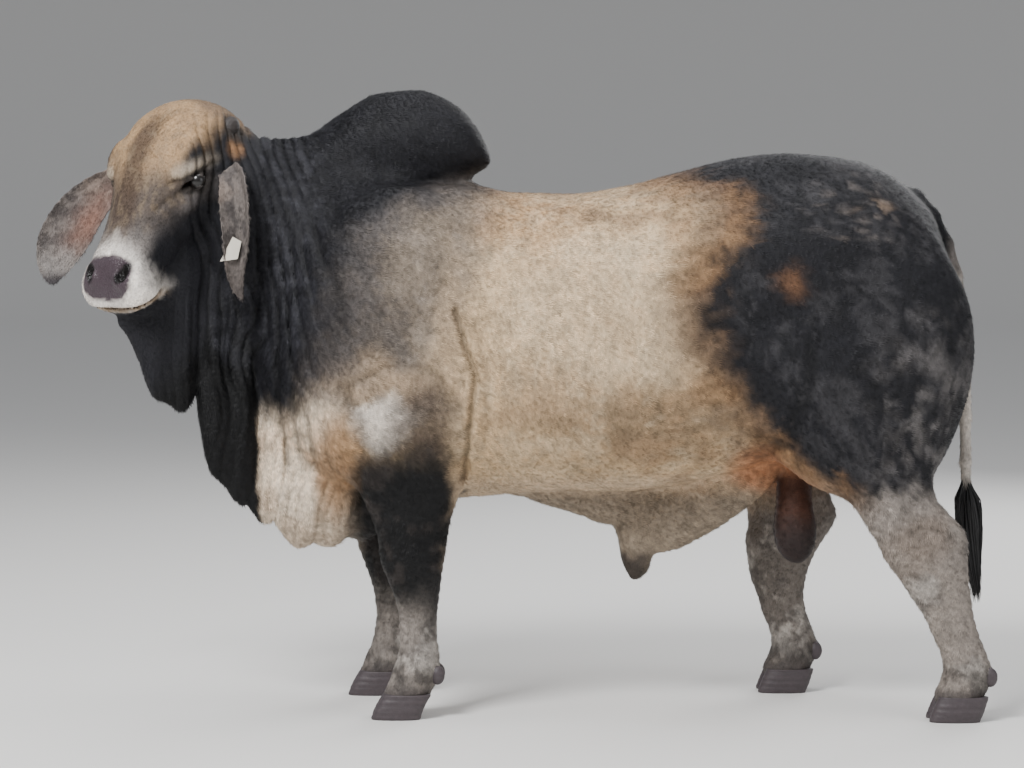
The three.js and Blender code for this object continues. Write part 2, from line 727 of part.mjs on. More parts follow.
// Head, eyes, horn scars, ears and the blank ear tag
const eyeAt = (side) => outOfHead(EYE[0], side * EYE[1], EYE[2]);
const eyes = [-1, 1].map((side) => ball(eyeAt(side), EYE_RADIUS, EYE_RADIUS, EYE_RADIUS, HEAD_FRAME));
const eyeRooms = [-1, 1].map((side) => {
  const r = EYE_RADIUS + TOUCHING_GAP;
  return ball(eyeAt(side), r, r, r, HEAD_FRAME);
});
const hornAt = (side) => outOfHead(14, side * 122, -80);
const hornBuds = [-1, 1].map((side) => ball(hornAt(side), 32, 22, 26, HEAD_FRAME, 9, 6));
const hornRooms = [-1, 1].map((side) =>
  ball(hornAt(side), 32 + TOUCHING_GAP, 22 + TOUCHING_GAP, 26 + TOUCHING_GAP, HEAD_FRAME, 9, 6),
);

const NEAR_EAR = [
  // x, y, z, half width, cup, thickness, turn
  [-716, -196, 1392, 30, 14, 30, 0],
  [-696, -222, 1362, 36, 26, 22, 0],
  [-687, -236, 1310, 40, 34, 16, 0],
  [-682, -240, 1250, 38, 36, 14, 0],
  [-684, -238, 1190, 33, 32, 13, 0],
  [-688, -236, 1140, 26, 24, 12, 0],
  [-686, -236, 1098, 17, 14, 11, 0],
  [-680, -238, 1070, 5, 3, 9, 0],
];
const FAR_EAR = [
  [-968, -22, 1392, 30, 12, 34, 0],
  [-1012, -12, 1372, 38, 18, 28, 0],
  [-1060, 0, 1338, 54, 26, 21, 0],
  [-1106, 4, 1290, 68, 32, 17, 0],
  [-1140, 2, 1240, 74, 32, 14, 0],
  [-1168, -6, 1190, 68, 28, 13, 0],
  [-1184, -16, 1148, 50, 20, 12, 0],
  [-1190, -24, 1120, 28, 10, 11, 0],
  [-1190, -28, 1106, 10, 3, 9, 0],
];
const NEAR_EAR_ACROSS = new THREE.Vector3(1, -0.35, 0);
const FAR_EAR_ACROSS = new THREE.Vector3(0.75, -0.35, -0.55);
const earSolids = [ear(NEAR_EAR, NEAR_EAR_ACROSS), ear(FAR_EAR, FAR_EAR_ACROSS)];
const earRooms = [ear(NEAR_EAR, NEAR_EAR_ACROSS, TOUCHING_GAP), ear(FAR_EAR, FAR_EAR_ACROSS, TOUCHING_GAP)];


// Claws: rows of [height, heel, toe, half width], set to each side of the leg's axis.
const FORE_CLAW = [
  [0, -232, -360, 28],
  [22, -226, -352, 30],
  [44, -216, -340, 29.5],
  [CORONET - HALF_GAP, -206, -329, 28],
];
const HIND_CLAW = [
  [0, 1188, 1057, 28],
  [22, 1196, 1064, 30],
  [44, 1203, 1073, 29.5],
  [CORONET - HALF_GAP, 1208, 1081, 28],
];
const CLAW_APART = 31;

function claw(rows, middle, step) {
  return closedGrid(
    rows.map(([z, heel, toe, half]) =>
      Array.from({ length: 14 }, (_, i) => {
        const turn = (i / 14) * 2 * Math.PI;
        const soft = (v) => Math.sign(v) * Math.abs(v) ** 0.8;
        const x = (heel + toe) / 2 + ((heel - toe) / 2) * soft(Math.cos(turn)) + step;
        return new THREE.Vector3(x, middle + half * soft(Math.sin(turn)), z);
      }),
    ),
  );
}

// A leg cut into its lengths, with two claws and two dewclaws.
function addLeg(name, side, leg, rows, axis, step, cuts, hides, front, inside) {
  const xs = rows.flatMap((row) => [row[1] + step(row[0]), row[2] + step(row[0])]);
  const back = Math.max(...xs) + 60;
  const inner = side * (inside + HALF_GAP);
  const outer = side * 480;
  const low = Math.min(inner, outer);
  const high = Math.max(inner, outer);
  const area = boxOf(front - 40, low - 40, CORONET - 40, back, high, cuts[0] + 40);
  const surface = surfaceOf(flesh, area, LEG_MESH);
  const fine = surfaceOf(flesh, boxOf(front - 40, low - 40, CORONET - 40, back, high, cuts[2] + 40), PASTERN_MESH);
  const dewclaws = [-1, 1].map((way) => {
    const at = [rows[3][1] + step(120) - 9, side * axis + way * 24, 112];
    return [0, TOUCHING_GAP].map((grow) =>
      ball(new THREE.Vector3(...at), 19 + grow, 14 + grow, 25 + grow, new THREE.Matrix4(), 8, 5),
    );
  });
  const slice = (solid, bottom, top) =>
    solid.intersect(boxSolid(front, low, bottom + HALF_GAP, back, high, top - HALF_GAP));
  addNode(`${name}_upper`, slice(surface, cuts[1], cuts[0]), hides.upper);
  addNode(`${name}_cannon`, slice(surface, cuts[2], cuts[1]), hides.lower);
  let pastern = slice(fine, CORONET, cuts[2]);
  for (const [, room] of dewclaws) pastern = pastern.subtract(room);
  addNode(`${name}_pastern`, pastern, hides.lower);
  const clawRows = leg === "fore" ? FORE_CLAW : HIND_CLAW;
  [-1, 1].forEach((way, i) => {
    const which = i ? "right" : "left";
    addNode(`${name}_dewclaw_${which}`, dewclaws[i][0], HOOF);
    addNode(`${name}_claw_${which}`, claw(clawRows, side * axis + way * CLAW_APART, step(40)), HOOF);
  });
}

// Head
const headSurface = surfaceOf(flesh, boxOf(-1240, -560, 920, -640, 160, 1700), HEAD_MESH);
const headPart = headBlock(HEAD_OUTLINE);
const jawPart = headBlock(JAW_OUTLINE, -HALF_GAP);
const jawRoom = headBlock(JAW_OUTLINE, HALF_GAP);
const headRooms = [...eyeRooms, ...hornRooms, ...earRooms];
const TAG = [[-734, 1166], [-690, 1172], [-680, 1216], [-702, 1228]];
const tagSolid = block(TAG, -254, -251);
const tagRoom = block(TAG, -254, -251, TOUCHING_GAP);
const lips = headBlock(LIP_OUTLINE);
const lidFrame = HEAD_FRAME.clone().multiply(new THREE.Matrix4().makeRotationY(THREE.MathUtils.degToRad(-LID_SLOPE)));
const lids = [-1, 1].map((side) => ball(eyeAt(side), LID_RADIUS, LID_RADIUS, LID_RADIUS, lidFrame, 16, 12));
const slits = [-1, 1].map((side) => ball(eyeAt(side), 26, 46, 10, lidFrame, 12, 8));
const nostrils = [-1, 1].map((side) =>
  ball(outOfHead(NOSTRIL[0], side * NOSTRIL[1], NOSTRIL[2]), 21, 14, 22, HEAD_FRAME, 10, 8),
);
let headSolid = headSurface.intersect(headPart).add(lids[0]).add(lids[1]).subtract(jawRoom);
for (const room of [...headRooms, ...slits, ...nostrils, lips]) headSolid = headSolid.subtract(room);
addNode("head", headSolid, HIDE_FACE);
addNode("lower_jaw", headSurface.intersect(headPart).intersect(jawPart).subtract(lips), HIDE_PALE);
["right", "left"].forEach((which, i) => {
  addNode(`eye_${which}`, eyes[i], EYE_DARK);
  addNode(`horn_bud_${which}`, hornBuds[i], HORN);
});
addNode("ear_left", earSolids[0].subtract(tagRoom).subtract(headSolid), EAR_SKIN);
addNode("ear_right", earSolids[1].subtract(headSolid), EAR_SKIN);
addNode("ear_tag", tagSolid, TAG_PLASTIC);

// Neck and the loose skin under it
const brisketRoom = boxSolid(DEWLAP_LINE - 5, -BRISKET_HALF - HALF_GAP, 200, -130 + HALF_GAP, BRISKET_HALF + HALF_GAP, BRISKET_TOP + HALF_GAP);
const headRoom = headBlock(HEAD_OUTLINE, TOUCHING_GAP);
const neckSurface = surfaceOf(flesh, boxOf(-1060, -420, 540, CHEST_FRONT + 60, 360, 1680), NECK_MESH);
const foldSurface = surfaceOf(flesh, boxOf(-1080, -420, 380, -120, 200, 1280), FOLD_MESH);
const skinOutline = [[-1120, 340], [DEWLAP_LINE, 340], [DEWLAP_LINE, 905], [-700, 1060], [THROAT_LINE, 1215], [-1120, 1215]];
const skinRoom = block(skinOutline, -600, 600, HALF_GAP);
const skinPart = block(skinOutline, -600, 600, -HALF_GAP);
const humpPart = block(HUMP_OUTLINE, -400, 400, -HALF_GAP);
const humpRoom = block(HUMP_OUTLINE, -400, 400, HALF_GAP);
const between = (x0, x1) => boxSolid(x0 + HALF_GAP, -900, -100, x1 - HALF_GAP, 900, 2000);
let neckSolid = neckSurface.intersect(between(-1200, CHEST_FRONT)).subtract(headRoom).subtract(skinRoom).subtract(humpRoom);
neckSolid = neckSolid.subtract(brisketRoom);
for (const room of earRooms) neckSolid = neckSolid.subtract(room);
addNode("neck", neckSolid, HIDE_DARK);
let folds = foldSurface.intersect(skinPart).subtract(headRoom);
for (const room of earRooms) folds = folds.subtract(room);
addNode("dewlap_throat", folds.intersect(between(-1200, THROAT_LINE)), HIDE_DARK);
addNode("dewlap_front", folds.intersect(between(THROAT_LINE, DEWLAP_LINE)), HIDE_DARK);
addNode(
  "brisket",
  foldSurface.intersect(boxSolid(DEWLAP_LINE + HALF_GAP, -BRISKET_HALF + HALF_GAP, 300, -130, BRISKET_HALF - HALF_GAP, BRISKET_TOP - HALF_GAP)),
  HIDE_PALE,
);

// Hump and torso
const humpSurface = surfaceOf(flesh, boxOf(-620, -240, 1320, 0, 240, 1680), NECK_MESH);
addNode("hump", humpSurface.intersect(humpPart), HIDE_DARK);
const torsoSurface = surfaceOf(flesh, boxOf(-760, -440, 480, 1200, 440, 1640), BACK_MESH);
let chest = torsoSurface.intersect(between(CHEST_FRONT, CHEST_BACK)).subtract(humpRoom).subtract(brisketRoom);
let barrel = torsoSurface.intersect(between(CHEST_BACK, RUMP_FRONT)).subtract(humpRoom);
let rump = torsoSurface.intersect(between(RUMP_FRONT, 1300)).subtract(tailRoom);
chest = chest.subtract(boxSolid(-900, -600, 0, 200, 600, FORE_TOP + HALF_GAP));
const sheathOutline = [[-90, 300], [690, 300], [690, 655], [560, 600], [300, SHEATH_TOP], [-90, SHEATH_TOP]];
const purseOutline = [[690, 300], [800, 300], [800, 640], [690, 655]];
barrel = barrel.subtract(block(sheathOutline, -90, 90, HALF_GAP));
rump = rump.subtract(block(sheathOutline, -90, 90, HALF_GAP)).subtract(block(purseOutline, -100, 100, HALF_GAP));
const leftThighRoom = boxSolid(THIGH_FRONT.left - HALF_GAP, -600, 0, 1400, -THIGH_INSIDE + HALF_GAP, HIND_TOP + HALF_GAP);
const rightThighRoom = boxSolid(THIGH_FRONT.right - HALF_GAP, THIGH_INSIDE - HALF_GAP, 0, 1400, 600, HIND_TOP + HALF_GAP);
rump = rump.subtract(leftThighRoom).subtract(rightThighRoom);
barrel = barrel.subtract(rightThighRoom);
addNode("chest", chest, HIDE_SLATE);
addNode("barrel", barrel, HIDE_CREAM);
addNode("rump", rump, HIDE_DARK);
const underSurface = surfaceOf(flesh, boxOf(-100, -110, 280, 860, 110, 700), BELLY_MESH);
addNode("sheath", underSurface.intersect(block(sheathOutline, -90, 90, -HALF_GAP)), SHEATH_SKIN);
addNode("scrotum", underSurface.intersect(block(purseOutline, -100, 100, -HALF_GAP)), PURSE_SKIN);

// Legs
const still = () => 0;
const darkLeg = { upper: HIDE_DARK, lower: HIDE_PALE };
const paleLeg = { upper: HIDE_PALE, lower: HIDE_PALE };
const foreCuts = [FORE_TOP, KNEE_TOP, FORE_PASTERN_TOP];
const hindCuts = [HIND_TOP, HOCK_TOP, HIND_PASTERN_TOP];
addLeg("foreleg_left", -1, "fore", FORE_LEG, FORE_LEG_SIDE, still, foreCuts, darkLeg, -500, BRISKET_HALF);
addLeg("foreleg_right", 1, "fore", FORE_LEG, FORE_LEG_SIDE, () => FAR_FORE_STEP, foreCuts, darkLeg, -560, BRISKET_HALF);
addLeg("hindleg_left", -1, "hind", HIND_LEG, HIND_LEG_SIDE, still, hindCuts, paleLeg, THIGH_FRONT.left, THIGH_INSIDE);
addLeg("hindleg_right", 1, "hind", HIND_LEG, HIND_LEG_SIDE, hindStep, hindCuts, paleLeg, THIGH_FRONT.right, THIGH_INSIDE);

// Tail
const tailCut = (low, high) => tailSolid.intersect(boxSolid(900, -90, low + HALF_GAP, 1400, 90, high - HALF_GAP));
addNode("tail_root", tailCut(1190, 1500), HIDE_DARK);
addNode("tail_middle", tailCut(860, 1190), HIDE_DARK);
addNode("tail_lower", tailCut(400, 860), HIDE_PALE);
addNode("tail_switch", switchSolid, SWITCH_HAIR);

const model = new THREE.Group();
for (const node of nodes) model.add(node);
const bounds = new THREE.Box3().setFromObject(model);
const middle = bounds.getCenter(new THREE.Vector3());
for (const node of nodes) node.geometry.translate(-middle.x, -middle.y, -bounds.min.z);

export default model;
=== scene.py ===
"""A life-size brahman bull: skin, coat, eyes, hooves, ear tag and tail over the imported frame."""
import math
from types import SimpleNamespace

import bmesh
import bpy
import numpy as np
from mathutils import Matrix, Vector


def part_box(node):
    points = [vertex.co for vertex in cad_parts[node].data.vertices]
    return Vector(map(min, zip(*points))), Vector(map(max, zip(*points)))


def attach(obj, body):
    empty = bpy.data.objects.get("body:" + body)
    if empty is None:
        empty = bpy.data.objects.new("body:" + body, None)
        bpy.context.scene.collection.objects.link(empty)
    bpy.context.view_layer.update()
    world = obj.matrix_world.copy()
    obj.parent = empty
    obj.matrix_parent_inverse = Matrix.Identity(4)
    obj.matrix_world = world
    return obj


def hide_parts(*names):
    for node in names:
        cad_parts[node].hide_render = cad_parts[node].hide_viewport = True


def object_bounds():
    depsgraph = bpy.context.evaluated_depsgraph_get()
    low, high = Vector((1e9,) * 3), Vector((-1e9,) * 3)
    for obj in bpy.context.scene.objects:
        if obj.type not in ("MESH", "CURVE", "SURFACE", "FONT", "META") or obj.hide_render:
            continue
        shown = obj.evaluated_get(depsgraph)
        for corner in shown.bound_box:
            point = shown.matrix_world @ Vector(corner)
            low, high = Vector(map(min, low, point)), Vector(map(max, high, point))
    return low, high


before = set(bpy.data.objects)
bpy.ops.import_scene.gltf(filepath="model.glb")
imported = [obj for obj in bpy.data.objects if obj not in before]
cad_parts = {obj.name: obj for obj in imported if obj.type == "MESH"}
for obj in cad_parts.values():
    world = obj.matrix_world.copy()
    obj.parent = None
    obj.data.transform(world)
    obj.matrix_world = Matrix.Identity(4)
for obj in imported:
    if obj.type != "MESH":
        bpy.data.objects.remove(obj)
CAD_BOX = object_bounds()

bl_info = {
    "name": "Brahman bull",
    "version": (1, 0, 0),
    "blender": (4, 5, 0),
    "location": "View3D > Sidebar > Bull",
    "description": "Builds the skin, coat, eyes, hooves and tail of a standing brahman bull",
    "category": "Add Mesh",
}

# The bull's own measures, in millimetres, as in the part's source

FORE_LEG_SIDE = 190.0
HIND_LEG_SIDE = 228.0
FAR_FORE_STEP = -80.0
EYE_RADIUS = 21.0
HEAD_TURN = math.radians(40)
HEAD_PITCH = math.radians(57)
POLL = np.array([-850.0, -105.0, 1560.0])
FACING = np.array([-math.sin(HEAD_TURN), -math.cos(HEAD_TURN), 0.0])
HEAD_ALONG = FACING * math.cos(HEAD_PITCH) - np.array([0.0, 0.0, math.sin(HEAD_PITCH)])
HEAD_UP = FACING * math.sin(HEAD_PITCH) + np.array([0.0, 0.0, math.cos(HEAD_PITCH)])
HEAD_SIDE = np.array([math.cos(HEAD_TURN), -math.sin(HEAD_TURN), 0.0])
EYE = (202.0, 144.0, -40.0)
COAT_DEPTH = 3.0


def out_of_head(along, side, up):
    """A place in the head's own axes as design millimetres."""
    return POLL + HEAD_ALONG * along + HEAD_SIDE * side + HEAD_UP * up


def design_shift():
    """The row frame's place of the design's origin, found from the left eye's node."""
    low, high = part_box("eye_left")
    middle = [(a + b) / 2 for a, b in zip(low, high)]
    return np.array(middle) * 1000 - out_of_head(*EYE)


SHIFT = design_shift()


def to_row(points):
    """Design millimetres to the row's metres."""
    return (np.asarray(points, dtype=np.float64) + SHIFT) / 1000


# Smooth numbers

def smooth(v, low, high):
    """0 up to low and 1 from high on, with an eased rise between them."""
    t = np.clip((v - low) / (high - low), 0, 1)
    return t * t * (3 - 2 * t)


def joined(a, b, reach):
    """Two bodies as one, filleted over reach."""
    h = np.maximum(reach - np.abs(a - b), 0) / reach
    return np.minimum(a, b) - h * h * reach * 0.25


def carved(a, hollow, reach):
    """A body less a hollow, with an eased rim."""
    return -joined(-a, hollow, reach)


def station_curve(rows):
    """A curve through rows of [place, value, ...] that doesn't overshoot them."""
    rows = np.array(rows, dtype=np.float64)
    places, values = rows[:, 0], rows[:, 1:]
    slopes = np.zeros_like(values)
    for i in range(1, len(rows) - 1):
        a = (values[i] - values[i - 1]) / (places[i] - places[i - 1])
        b = (values[i + 1] - values[i]) / (places[i + 1] - places[i])
        total = np.where(np.abs(a + b) < 1e-9, 1, a + b)
        slopes[i] = np.where(a * b <= 0, 0, 2 * a * b / total)

    def at(s):
        i = np.clip(np.searchsorted(places, s, side="left") - 1, 0, len(places) - 2)
        length = places[i + 1] - places[i]
        t = np.clip((s - places[i]) / length, 0, 1)
        t2, t3 = t * t, t * t * t
        return [
            values[i, c] * (2 * t3 - 3 * t2 + 1)
            + slopes[i, c] * length * (t3 - 2 * t2 + t)
            + values[i + 1, c] * (3 * t2 - 2 * t3)
            + slopes[i + 1, c] * length * (t3 - t2)
            for c in range(values.shape[1])
        ]

    return at


def lofted(rows, roundness=2.2, closing=40.0):
    """A body whose sections are soft rectangles: rows of [place, high, low, half width, middle]."""
    at = station_curve([row + [0] if len(row) == 4 else row for row in rows])
    first, last = rows[0][0], rows[-1][0]

    def distance(place, rise, across):
        high, low, width, middle = at(place)
        half = np.maximum((high - low) / 2, 1)
        a = rise - (high + low) / 2
        b = across - middle
        share = ((np.abs(a) / half) ** roundness + (np.abs(b) / width) ** roundness) ** (1 / roundness)
        reach = np.hypot(a, b)
        least = -np.minimum(half, width)
        side = np.maximum(reach * (share - 1) / np.maximum(share, 1e-4), least)
        return -joined(-side, np.minimum(place - first, last - place), closing)

    return distance


def egg(x, y, z, rx, ry, rz, tilt=0.0):
    c, s = math.cos(math.radians(tilt)), math.sin(math.radians(tilt))

    def distance(px, py, pz):
        dx, dz = px - x, pz - z
        u, v, w = (c * dx + s * dz) / rx, (py - y) / ry, (c * dz - s * dx) / rz
        k = np.sqrt(u * u + v * v + w * w)
        g = np.sqrt((u / rx) ** 2 + (v / ry) ** 2 + (w / rz) ** 2)
        return k * (k - 1) / np.maximum(g, 1e-6)

    return distance


def bar(start, start_radius, end, end_radius, thin=1.0):
    d = [b - a for a, b in zip(start, end)]
    square = sum(v * v for v in d)

    def distance(x, y, z):
        px, py, pz = x - start[0], y - start[1], z - start[2]
        t = np.clip((px * d[0] + py * d[1] + pz * d[2]) / square, 0, 1)
        away = np.sqrt((px - d[0] * t) ** 2 + ((py - d[1] * t) / thin) ** 2 + (pz - d[2] * t) ** 2)
        return away - start_radius - (end_radius - start_radius) * t

    return distance


# The torso: rows of x, back, underline, half width

TORSO = [
    [-690, 1130, 860, 110], [-600, 1250, 700, 205], [-470, 1350, 590, 262], [-300, 1385, 548, 290],
    [-150, 1378, 545, 300], [0, 1345, 556, 322], [150, 1341, 562, 338], [300, 1362, 562, 338],
    [450, 1402, 583, 318], [600, 1436, 618, 290], [700, 1445, 650, 276], [800, 1440, 700, 268],
    [900, 1424, 770, 250], [1000, 1376, 850, 215], [1080, 1300, 940, 165], [1140, 1200, 1040, 90],
]
torso_loft = lofted(TORSO, 2.35, 60)
torso_masses = [
    mass
    for side in (-1, 1)
    for mass in (
        egg(-330, side * 205, 1060, 185, 95, 300, -14),
        egg(-390, side * 190, 760, 130, 110, 150, 10),
        egg(-250, side * 215, 800, 170, 90, 170, -20),
        egg(700, side * 205, 1180, 130, 80, 110, 0),
        egg(900, side * 175, 1010, 250, 120, 300, 12),
        egg(820, side * 180, 800, 190, 112, 240, 24),
        egg(985, side * 165, 860, 175, 120, 300, -8),
    )
]


def torso(x, y, z):
    d = torso_loft(x, z, y)
    for mass in torso_masses:
        d = joined(d, mass(x, y, z), 95)
    return d


# The hump: rows of x, crown, base, half width

HUMP = [
    [-600, 1475, 1300, 70], [-540, 1488, 1300, 92], [-448, 1546, 1290, 108], [-344, 1602, 1300, 120],
    [-240, 1610, 1330, 122], [-188, 1594, 1345, 118], [-136, 1562, 1372, 108], [-96, 1518, 1388, 88],
    [-70, 1470, 1402, 58], [-55, 1440, 1420, 25],
]
hump_loft = lofted(HUMP, 2.1, 12)

neck_bars = [
    bar([-420, 0, 1150], 235, [-700, -50, 1300], 165, 0.9),
    bar([-420, 0, 1330], 130, [-740, -75, 1385], 100, 0.85),
    bar([-560, -10, 1010], 190, [-730, -85, 1260], 125, 0.85),
    bar([-730, -70, 1340], 120, [-815, -110, 1400], 115, 1),
]


def neck(x, y, z):
    d = neck_bars[0](x, y, z)
    for one in neck_bars[1:]:
        d = joined(d, one(x, y, z), 70)
    return d


# Hanging skin: rows of x, top, hem, half width, middle

THROAT_FOLD = [
    [-990, 1030, 1000, 22, -240], [-945, 1170, 905, 40, -228], [-900, 1240, 812, 48, -208],
    [-860, 1260, 788, 50, -190], [-825, 1260, 790, 50, -172], [-785, 1250, 850, 44, -150],
]
DEWLAP = [
    [-820, 1150, 820, 40, -152], [-780, 1200, 640, 52, -128], [-730, 1220, 560, 58, -105],
    [-690, 1220, 530, 60, -85], [-655, 1200, 482, 64, -62], [-630, 1150, 490, 68, -45],
    [-600, 1100, 560, 74, -30],
]
BRISKET = [
    [-640, 900, 500, 60, -25], [-600, 960, 440, 95, -14], [-540, 960, 415, 120, -6],
    [-480, 900, 420, 125, 0], [-420, 850, 432, 118, 0], [-350, 800, 450, 110, 0],
    [-250, 750, 500, 110, 0], [-180, 700, 540, 90, 0],
]
throat_loft = lofted(THROAT_FOLD, 2, 16)
dewlap_loft = lofted(DEWLAP, 2, 20)
brisket_loft = lofted(BRISKET, 2.4, 30)
FOLD_DEPTH = 9.0
FOLD_PITCH = 92.0


def hanging_skin(x, y, z):
    throat = throat_loft(x, z, y)
    dewlap = dewlap_loft(x, z, y)
    brisket = brisket_loft(x, z, y)
    ripple = FOLD_DEPTH * np.sin((x + 0.55 * y) * 2 * math.pi / FOLD_PITCH) * smooth(z, 1150, 900)
    return joined(joined(throat, dewlap, 14), brisket, 24) + ripple


SHEATH = [
    [0, 600, 552, 30], [70, 600, 528, 48], [130, 610, 512, 56], [190, 610, 490, 58],
    [235, 610, 474, 56], [262, 610, 470, 52], [276, 610, 440, 48], [288, 610, 375, 44],
    [320, 610, 325, 42], [352, 610, 345, 44], [372, 615, 392, 48], [430, 625, 405, 56],
    [500, 640, 440, 60], [580, 660, 490, 62], [650, 670, 545, 60], [720, 690, 605, 50],
]
sheath_loft = lofted(SHEATH, 1.8, 20)
purse_parts = [
    egg(738, 0, 590, 48, 62, 90),
    egg(738, -38, 462, 58, 50, 88, 3),
    egg(742, 38, 456, 58, 50, 90, 3),
]


def purse(x, y, z):
    return joined(purse_parts[0](x, y, z), joined(purse_parts[1](x, y, z), purse_parts[2](x, y, z), 26), 60)


# The tail: rows of x, y, z, radius

TAIL = [
    (985, 0, 1330, 38), (1040, 0, 1316, 38), (1082, 0, 1275, 34), (1122, 0, 1206, 29), (1148, 0, 1130, 26),
    (1168, 0, 1030, 23), (1180, 0, 900, 20), (1184, 0, 760, 18), (1186, 0, 640, 17), (1188, 0, 560, 15),
]
tail_bars = [bar(a[:3], a[3], b[:3], b[3]) for a, b in zip(TAIL[:-1], TAIL[1:])]


def tail(x, y, z):
    d = tail_bars[0](x, y, z)
    for one in tail_bars[1:]:
        d = joined(d, one(x, y, z), 12)
    return d


# Legs: rows of height, back edge, front edge, half width, middle from the leg's axis

FORE_LEG = [
    [30, -240, -345, 50, 0], [64, -206, -330, 58, 0], [95, -188, -318, 56, 0], [128, -181, -306, 51, 0],
    [166, -182, -294, 44, 0], [204, -188, -290, 39, 0], [255, -188, -292, 40, 0], [305, -183, -303, 49, 0],
    [356, -177, -322, 58, 0], [400, -170, -338, 63, 0], [455, -162, -346, 64, -2], [510, -152, -361, 70, -6],
    [560, -135, -382, 80, -6], [640, -120, -408, 95, 0], [720, -130, -420, 100, 10],
]
HIND_LEG = [
    [30, 1185, 1072, 50, 0], [64, 1205, 1072, 58, 0], [95, 1218, 1085, 56, 0], [130, 1222, 1094, 52, 0],
    [170, 1210, 1086, 46, 0], [215, 1192, 1066, 43, 0], [260, 1178, 1046, 43, 0], [310, 1170, 1012, 48, 0],
    [360, 1163, 980, 55, 0], [415, 1160, 940, 60, 0], [450, 1160, 925, 60, 0], [480, 1152, 905, 58, 0],
    [520, 1118, 880, 60, 2], [570, 1078, 850, 68, 6], [620, 1068, 810, 82, 12], [680, 1085, 770, 92, 24],
    [760, 1095, 750, 96, 40], [860, 1060, 770, 84, 66],
]


def hind_step(z):
    """How far ahead of the near hind leg the far one stands, at each height."""
    return -395 + 190 * smooth(z, 150, 700) * smooth(z, 60, 500)


def shifted(rows, step):
    return [[r[0], r[1] + float(step(r[0])), r[2] + float(step(r[0])), r[3], r[4]] for r in rows]


fore_lofts = {-1: lofted(FORE_LEG, 2.2, 30), 1: lofted(shifted(FORE_LEG, lambda z: FAR_FORE_STEP), 2.2, 30)}
hind_lofts = {-1: lofted(HIND_LEG, 2.2, 30), 1: lofted(shifted(HIND_LEG, hind_step), 2.2, 30)}

# The head in its own axes: rows of along, brow line, palate line, half width

CRANIUM = [
    [-62, -60, -170, 70], [-30, -8, -225, 108], [20, 34, -245, 142], [80, 58, -240, 158],
    [150, 64, -222, 158], [215, 54, -205, 136], [290, 34, -186, 112], [360, 18, -164, 100],
    [420, 11, -148, 98], [465, 5, -140, 104], [500, -14, -132, 108], [530, -36, -122, 102],
    [552, -56, -112, 82], [564, -70, -100, 54],
]
JAW = [
    [10, -120, -255, 66], [80, -120, -300, 92], [150, -120, -312, 94], [220, -120, -296, 84],
    [300, -110, -256, 68], [380, -100, -222, 62], [450, -90, -188, 72], [500, -82, -168, 76],
    [530, -80, -148, 64], [548, -84, -128, 44],
]
cranium_loft = lofted(CRANIUM, 2.4, 26)
jaw_loft = lofted(JAW, 2.3, 26)
mouth_line = egg(525, 0, -103, 62, 112, 1.0, 31)
LID_RADIUS = 27.0
LID_SLOPE = 36.0

head_masses = [
    (egg(130, 104, -180, 100, 46, 100), 44),
    (egg(172, 128, -2, 62, 32, 34, -14), 30),
    (egg(244, 120, -66, 46, 28, 22), 24),
    (egg(490, 72, -70, 58, 40, 46, 20), 30),
    (egg(506, 50, -26, 26, 26, 18, -40), 14),
    (egg(*EYE, LID_RADIUS, LID_RADIUS, LID_RADIUS), 10),
]
head_hollows = [
    (egg(496, 59, -8, 23, 13, 16, -35), 8),
    (egg(*EYE, 21, 46, 4.5, LID_SLOPE), 3),
]


def in_head(x, y, z):
    """Design millimetres as places in the head's own axes."""
    dx, dy, dz = x - POLL[0], y - POLL[1], z - POLL[2]
    return (
        dx * HEAD_ALONG[0] + dy * HEAD_ALONG[1] + dz * HEAD_ALONG[2],
        dx * HEAD_SIDE[0] + dy * HEAD_SIDE[1],
        dx * HEAD_UP[0] + dy * HEAD_UP[1] + dz * HEAD_UP[2],
    )


def head(x, y, z):
    along, side, up = in_head(x, y, z)
    d = joined(cranium_loft(along, up, side), jaw_loft(along, up, side), 26)
    s = np.where(side < 0, -1.0, 1.0) * side
    for mass, reach in head_masses:
        d = joined(d, mass(along, s, up), reach)
    for hollow, reach in head_hollows:
        d = carved(d, hollow(along, s, up), reach)
    return carved(d, mouth_line(along, side, up), 5)


def flesh(p):
    """The bull's flesh, negative inside, in millimetres; p is an array of points."""
    x, y, z = p[:, 0], p[:, 1], p[:, 2]
    d = np.full(len(p), 1e3)

    def blend(where, shape, reach):
        if not where.any():
            return
        part = shape(x[where], y[where], z[where])
        d[where] = joined(d[where], part, reach) if reach else np.minimum(d[where], part)

    blend(x > -760, torso, 0)
    front = x < -20
    blend(front, neck, 80)
    blend(front, lambda a, b, c: hump_loft(a, c, b), 46)
    blend(front, hanging_skin, 30)
    blend((x < -600) & (z > 950), head, 30)
    low = z < 900
    for side in (-1, 1):
        near = low & ((y < 0) if side < 0 else (y >= 0))
        blend(near & (x < 0), lambda a, b, c: fore_lofts[side](c, a, -side * (b - side * FORE_LEG_SIDE)), 44)
        blend(near & (x > 500), lambda a, b, c: hind_lofts[side](c, a, -side * (b - side * HIND_LEG_SIDE)), 44)
    blend(low & (x > -60) & (x < 800), lambda a, b, c: sheath_loft(a, c, b), 26)
    blend(low & (x > 640) & (x < 840), purse, 14)
    blend(x > 930, tail, 22)
    return d


# Folds and creases that are cut into the skin: side-view lines of [x, z], depth and width

